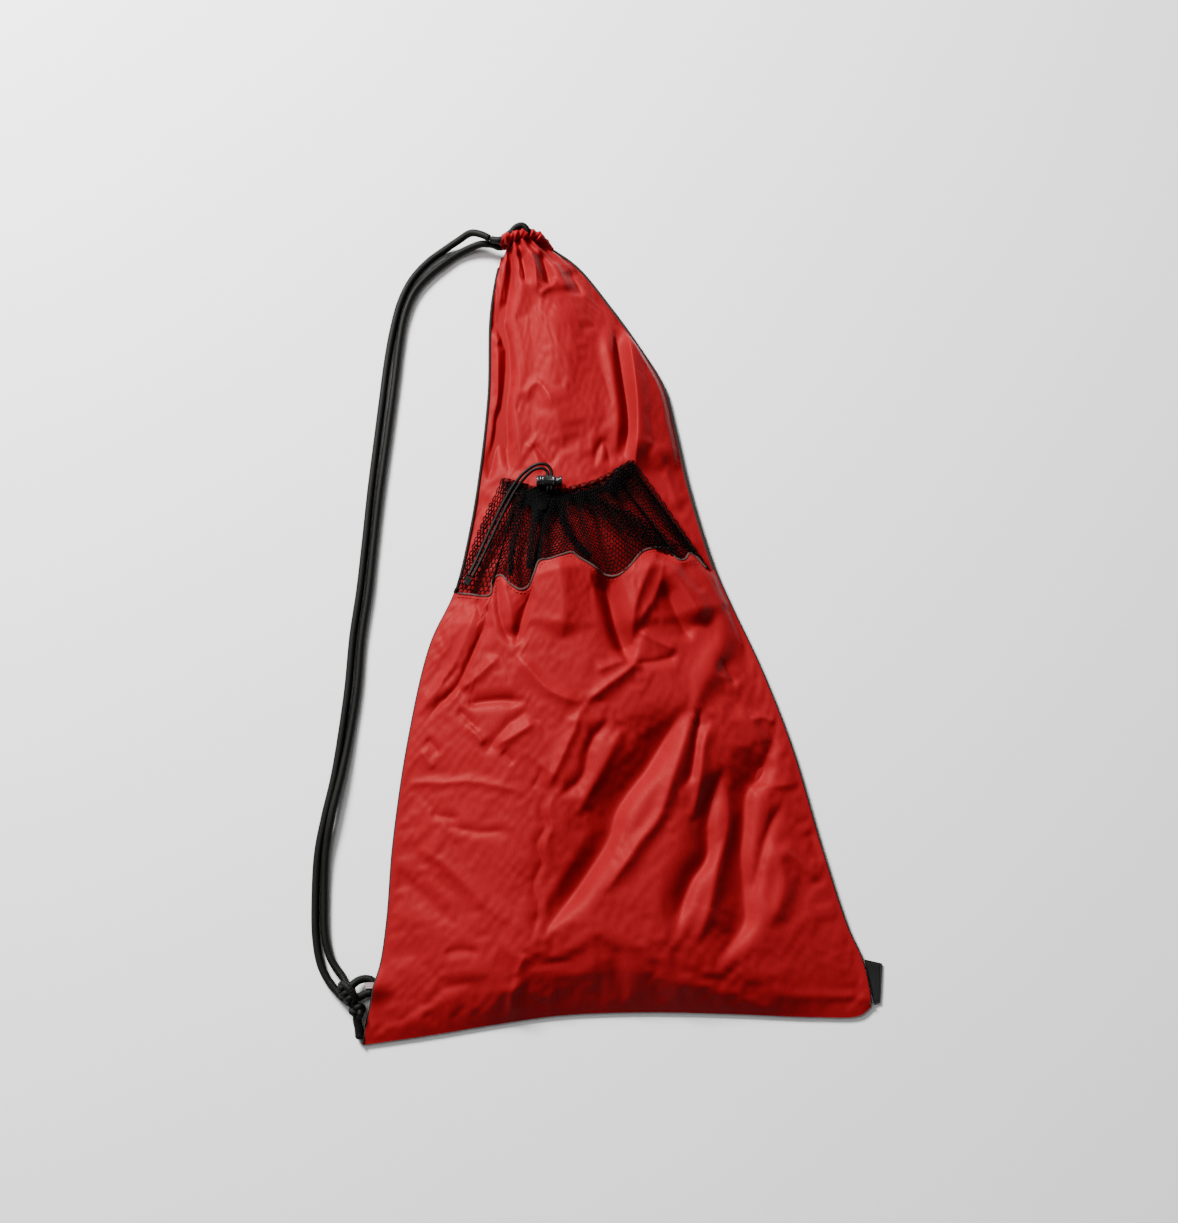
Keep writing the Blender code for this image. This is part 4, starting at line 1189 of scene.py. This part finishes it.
def net_fold(name, points, layer):
    """One layer of a fold of the net."""
    line = even(smooth(points), 80)
    ahead = unit_ahead(line[:, :2])
    aside = np.stack([ahead[:, 1], -ahead[:, 0]], axis=1)
    closer = 0.15 * layer

    def place(s, t):
        at = read(line, t)
        shift = (s - 0.5) * at[..., 2] * (1 - closer)
        plan = at[..., :2] + shift[..., None] * read(aside, t)
        hump = np.sin(math.pi * np.clip(s, 0.02, 0.98)) * np.minimum(at[..., 2] / 8, 1)
        return lifted(plan, net_height(plan) + 0.6 + (0.6 + 0.8 * layer) * hump)

    tall = length_along(line[:, :2])[-1]
    return net_patch(name, place, 1.5 * line[:, 2].mean(), tall, NET_CELL - closer)


def make_pocket_net():
    """The pocket's net with its doubled folds, as one piece."""
    layers = [net_patch("net_main", band_place, 205, 62, NET_CELL)]
    for number, (points, count) in enumerate(NET_FOLDS):
        layers += [net_fold(f"net_{number}_{layer}", points, layer) for layer in range(count)]
    item = joined("pocket_net", [fixed(layer) for layer in layers])
    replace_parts(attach(item, "root"), "pocket_mesh")


def make_pocket_seam():
    """Ribbed binding along the scalloped seam, and the row of stitches below it."""
    line = even(SEAM_LINE[4:-4], 420)
    ahead = unit_ahead(line)
    aside = np.stack([-ahead[:, 1], ahead[:, 0]], axis=1)
    ribs = 0.08 * np.cos(np.arange(len(line)) * math.pi)
    angle = np.linspace(-0.15 * math.pi, 1.15 * math.pi, 9)
    across = np.cos(angle)[None, :] * 0.6
    up = np.sin(angle)[None, :] * (0.4 + 0.6 * ribs[:, None])
    plan = line[:, None] + across[..., None] * aside[:, None]
    places = on_plan(lifted(plan, pocket_top(line)[:, None] + 0.25 + up))
    item = grid_object("scalloped_binding", places, BINDING)
    solidify(item, 0.2)
    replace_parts(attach(item, "root"), "pocket_seam_binding")
    make_stitches(even(line - 2.4 * aside, 86))


def make_stitches(line):
    """A grain of thread over the middle of each step of a line."""
    stitches = bmesh.new()
    places = [Vector(place) for place in on_plan(lifted(line, pocket_top(line) + 0.12))]
    for start, end in zip(places, places[1:]):
        turn = (end - start).to_track_quat("Z", "Y").to_matrix().to_4x4()
        middle = Matrix.Translation((start + end) / 2)
        size = Matrix.Diagonal((0.22 * MM, 0.22 * MM, (end - start).length * 0.36, 1))
        bmesh.ops.create_uvsphere(stitches, u_segments=6, v_segments=5, radius=1.0,
                                  matrix=middle @ turn @ size)
    item = built("pocket_stitches", stitches, THREAD)
    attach(item, "root")


def smooth_noise(draw, count, knots):
    """A random line from -1 to 1, straight between its knots."""
    values = draw.uniform(-1, 1, knots + 4)
    return np.interp(np.linspace(0, 1, count), np.linspace(0, 1, len(values)), values)


def make_pocket_hem():
    """The hem's casing, ruffled where its elastic gathers it; its red cloth is painted dark as
    painted shade.
    """
    draw = np.random.default_rng(12)
    for side, points, gathers in (("left", HEM_LEFT, 9), ("right", HEM_RIGHT, 17)):
        path = route(points, 0.28)
        ahead, aside, up = frames_along(path)
        share = np.linspace(0, 1, len(path))
        jitter = smooth_noise(draw, len(path), gathers * 2) * 1.6
        phase = 2 * math.pi * gathers * share + jitter
        angle = np.linspace(0, 2 * math.pi, 27)
        ruffle = 1.6 + 0.45 * np.cos(phase)[:, None] * (0.65 + 0.35 * np.cos(
            angle * 2 + 1.3)[None, :]) + 0.25 * np.cos(3 * angle[None, :] + phase[:, None] * 0.5)
        ring = rings(path, aside, up, np.clip(ruffle, 1.2, 2.4) * MM, angle)
        ring += (ahead * 0.5 * MM * np.sin(phase)[:, None])[:, None]
        item = grid_object("hem_casing_" + side, ring, SHADED_HEM_CLOTH)
        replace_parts(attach(item, "root"), "pocket_hem_" + side)


# ---- mouth
# The two bunches of the mouth: name, middle line, half width and half height
MOUTH_BUNCHES = [
    ("front", [(-86, 264.5, 13.5), (-79, 268, 14.6), (-72, 270, 14.8), (-65, 270.5, 14.0),
               (-59, 269.5, 12.5), (-53, 266.5, 10.5)], 4.3, 4.8),
    ("back", [(-85, 264, 7.2), (-78, 267.5, 7.0), (-71, 269, 6.8), (-62, 269.5, 6.6),
              (-55, 267, 6.2), (-49, 262.5, 6.0)], 4.6, 5.2),
]


def make_mouth():
    """The mouth's channel: cloth bunched round the drawcord, in deep uneven gathers."""
    draw = np.random.default_rng(4)
    for side, middle, low, high in MOUTH_BUNCHES:
        path = route(middle, 0.2)
        _, aside, up = frames_along(path)
        share = np.linspace(0, 1, len(path))
        angle = np.linspace(0, 2 * math.pi, 61)
        twist = 0.5 * np.sin(angle)[None, :] + 0.35 * np.sin(2 * angle + 1)[None, :]
        phase = 2 * math.pi * 6 * share[:, None] + twist + smooth_noise(draw, len(path), 9)[:, None]
        radius = low + 0.5 * np.cos(phase) + 0.28 * np.cos(1.7 * phase + 3 * angle[None, :])
        ends = np.clip(np.minimum(share / 0.16, (1 - share) / 0.22), 0, 1)
        radius = radius * np.sqrt(0.12 + 0.88 * ends)[:, None]
        ring = rings(path, aside, up, radius * MM, angle, 0.92, high / low)
        item = grid_object("mouth_casing_" + side, ring, RED_CLOTH)
        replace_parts(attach(item, "root"), "mouth_channel_" + side)


# ---- cord lock
def turned(name, profile):
    """A plastic part: a profile of (radius, distance along the lock) turned about its axis."""
    angle = np.arange(49) * 2 * math.pi / 48
    radius, along = np.array(profile, float).T[..., None]
    middle = np.array(LOCK_PLACE)
    ring = np.stack([middle[0] + along + 0 * angle[None, :], middle[1] + radius * np.cos(angle),
                     middle[2] + radius * np.sin(angle)], axis=-1)
    item = grid_object(name, on_plan(ring), PLASTIC)
    weld = item.modifiers.new("Weld", "WELD")
    weld.merge_threshold = 0.01 * MM
    return item


def rounded(profile, amount, steps):
    """A profile with its corners rounded off."""
    profile = np.array(profile, float)
    out = [profile[0]]
    for before, here, after in zip(profile, profile[1:], profile[2:]):
        into, away = before - here, after - here
        reach = min(amount, 0.45 * np.linalg.norm(into), 0.45 * np.linalg.norm(away))
        start = here + into / np.linalg.norm(into) * reach
        end = here + away / np.linalg.norm(away) * reach
        for t in np.linspace(0, 1, steps):
            out.append((1 - t) ** 2 * start + 2 * t * (1 - t) * here + t * t * end)
    out.append(profile[-1])
    return out


def windowed(item, start, end):
    """The part with the cord's window cut across it, from start to end along the lock."""
    low = on_plan(LOCK_PLACE) + np.array([start, -8, -WINDOW_HALF]) * MM
    high = on_plan(LOCK_PLACE) + np.array([end, 8, WINDOW_HALF]) * MM
    block = bmesh.new()
    bmesh.ops.create_cube(block, size=1.0)
    block.transform(Matrix.Translation(Vector((low + high) / 2))
                    @ Matrix.Diagonal((*(high - low), 1)))
    bmesh.ops.bevel(block, geom=block.edges[:], offset=0.4 * MM, segments=3, affect="EDGES",
                    profile=0.5)
    cutter = built(item.name + "_window", block, PLASTIC)
    hole = item.modifiers.new("Window", "BOOLEAN")
    hole.operation = "DIFFERENCE"
    hole.solver = "EXACT"
    hole.object = cutter
    done = fixed(item)
    bpy.data.objects.remove(cutter)
    done.data.shade_smooth()
    done.data.set_sharp_from_angle(angle=math.radians(38))
    return done


# Along the lock from the barrel's closed end
WINDOW_START, WINDOW_END, WINDOW_HALF = 6.3, 11.0, 1.45
PLUNGER_WINDOW_END = 13.5
BARREL = [(0.0, 1.2), (2.75, 1.2), (2.75, 12.5), (3.9, 12.5), (3.9, 11.6), (3.55, 11.3),
          (3.55, 6.2), (3.75, 6.0), (3.75, 4.4), (3.5, 4.2), (3.5, 3.7), (3.75, 3.5),
          (3.75, 2.9), (3.5, 2.7), (3.5, 2.2), (3.75, 2.0), (3.6, 0.7), (2.6, 0.05), (0.0, 0.0)]
HEAD_RADIUS, HEAD_GROOVES = 3.4, (16.4, 15.8, 15.2)
STEM_RADIUS, STEM_START = 2.45, 4.8
SPRING_TURNS, SPRING_WIRE, SPRING_RADIUS = 4, 0.3, 2.0
SPRING_LOW, SPRING_HIGH = 1.6, 4.4


def make_lock():
    """The cord lock: its barrel, its plunger and the spring between them."""
    barrel = windowed(turned("barrel", rounded(BARREL, 0.18, 4)), WINDOW_START, WINDOW_END)
    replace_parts(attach(barrel, "lock"), "lock_barrel")

    profile = [(0.0, 17.3), (2.5, 17.3), (HEAD_RADIUS, 16.9)]
    for along in HEAD_GROOVES:
        profile += [(HEAD_RADIUS, along + 0.15), (3.12, along), (3.12, along - 0.15),
                    (HEAD_RADIUS, along - 0.3)]
    profile += [(HEAD_RADIUS, 14.85), (STEM_RADIUS, 14.8), (STEM_RADIUS, STEM_START),
                (0.0, STEM_START)]
    plunger = windowed(turned("plunger", rounded(profile, 0.1, 3)), WINDOW_START,
                       PLUNGER_WINDOW_END)
    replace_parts(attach(plunger, "plunger"), "lock_plunger")

    place = on_plan(LOCK_PLACE)
    share = np.linspace(0, 1, 160)
    turn = 2 * math.pi * SPRING_TURNS * share
    line = np.stack([mix(SPRING_LOW, SPRING_HIGH, share), SPRING_RADIUS * np.cos(turn),
                     SPRING_RADIUS * np.sin(turn)], axis=1)
    spring = tube("spring_coil", line * MM + place, SPRING_WIRE, STEEL, 10)
    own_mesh(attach(spring, "lock"))
    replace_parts(spring, "lock_spring")


# ---- label and tab
def make_label():
    """The folded label, blank, with a dent along its sewn border."""
    top_in, top_out, low_out, low_in = np.array(LABEL_CORNERS, float)
    s, t = share_grid(40, 60)
    plan = mix(mix(low_in, low_out, s[..., None]), mix(top_in, top_out, s[..., None]),
               t[..., None])
    border = np.minimum(np.minimum(t, 1 - t) * 26, (1 - s) * 10)
    hem = 0.18 * np.exp(-((border - 1.0) / 0.35) ** 2)
    height = 0.95 + 0.25 * np.sin(3.2 * t + 0.5) * s - hem
    item = grid_object("label", on_plan(lifted(plan, height)), LABEL)
    solidify(item, 0.85)
    soft = item.modifiers.new("Edge", "BEVEL")
    soft.width = 0.25 * MM
    soft.segments = 2
    soft.limit_method = "ANGLE"
    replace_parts(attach(item, "label"), "side_label")


def make_tab():
    """A ribbed loop of webbing, flattened about the cord."""
    angle = np.linspace(0.06, 2 * math.pi - 0.06, 60)[None, :]
    row = np.linspace(-0.5, 0.5, 18)[:, None]
    ribs = 1 + 0.02 * np.cos(np.arange(len(row)) * math.pi)[:, None]
    ring = np.stack([TAB_PLACE[0] + 4.4 * np.cos(angle) * ribs,
                     TAB_PLACE[1] + row * 3.4 + 0 * angle,
                     TAB_PLACE[2] + 3.6 * np.sin(angle) * ribs], axis=-1)
    item = grid_object("tab_of_webbing", on_plan(ring), TAB_CLOTH)
    solidify(item, 0.7)
    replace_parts(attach(item, "root"), "webbing_tab")


# ---- making
for make in (make_stage, make_strap, make_drawcord, make_elastic, make_back_cloth,
             make_front_cloth, make_pocket_cloth, make_side_tapes, make_pocket_net,
             make_pocket_seam, make_pocket_hem, make_mouth, make_lock, make_label, make_tab):
    make()

bpy.context.view_layer.update()
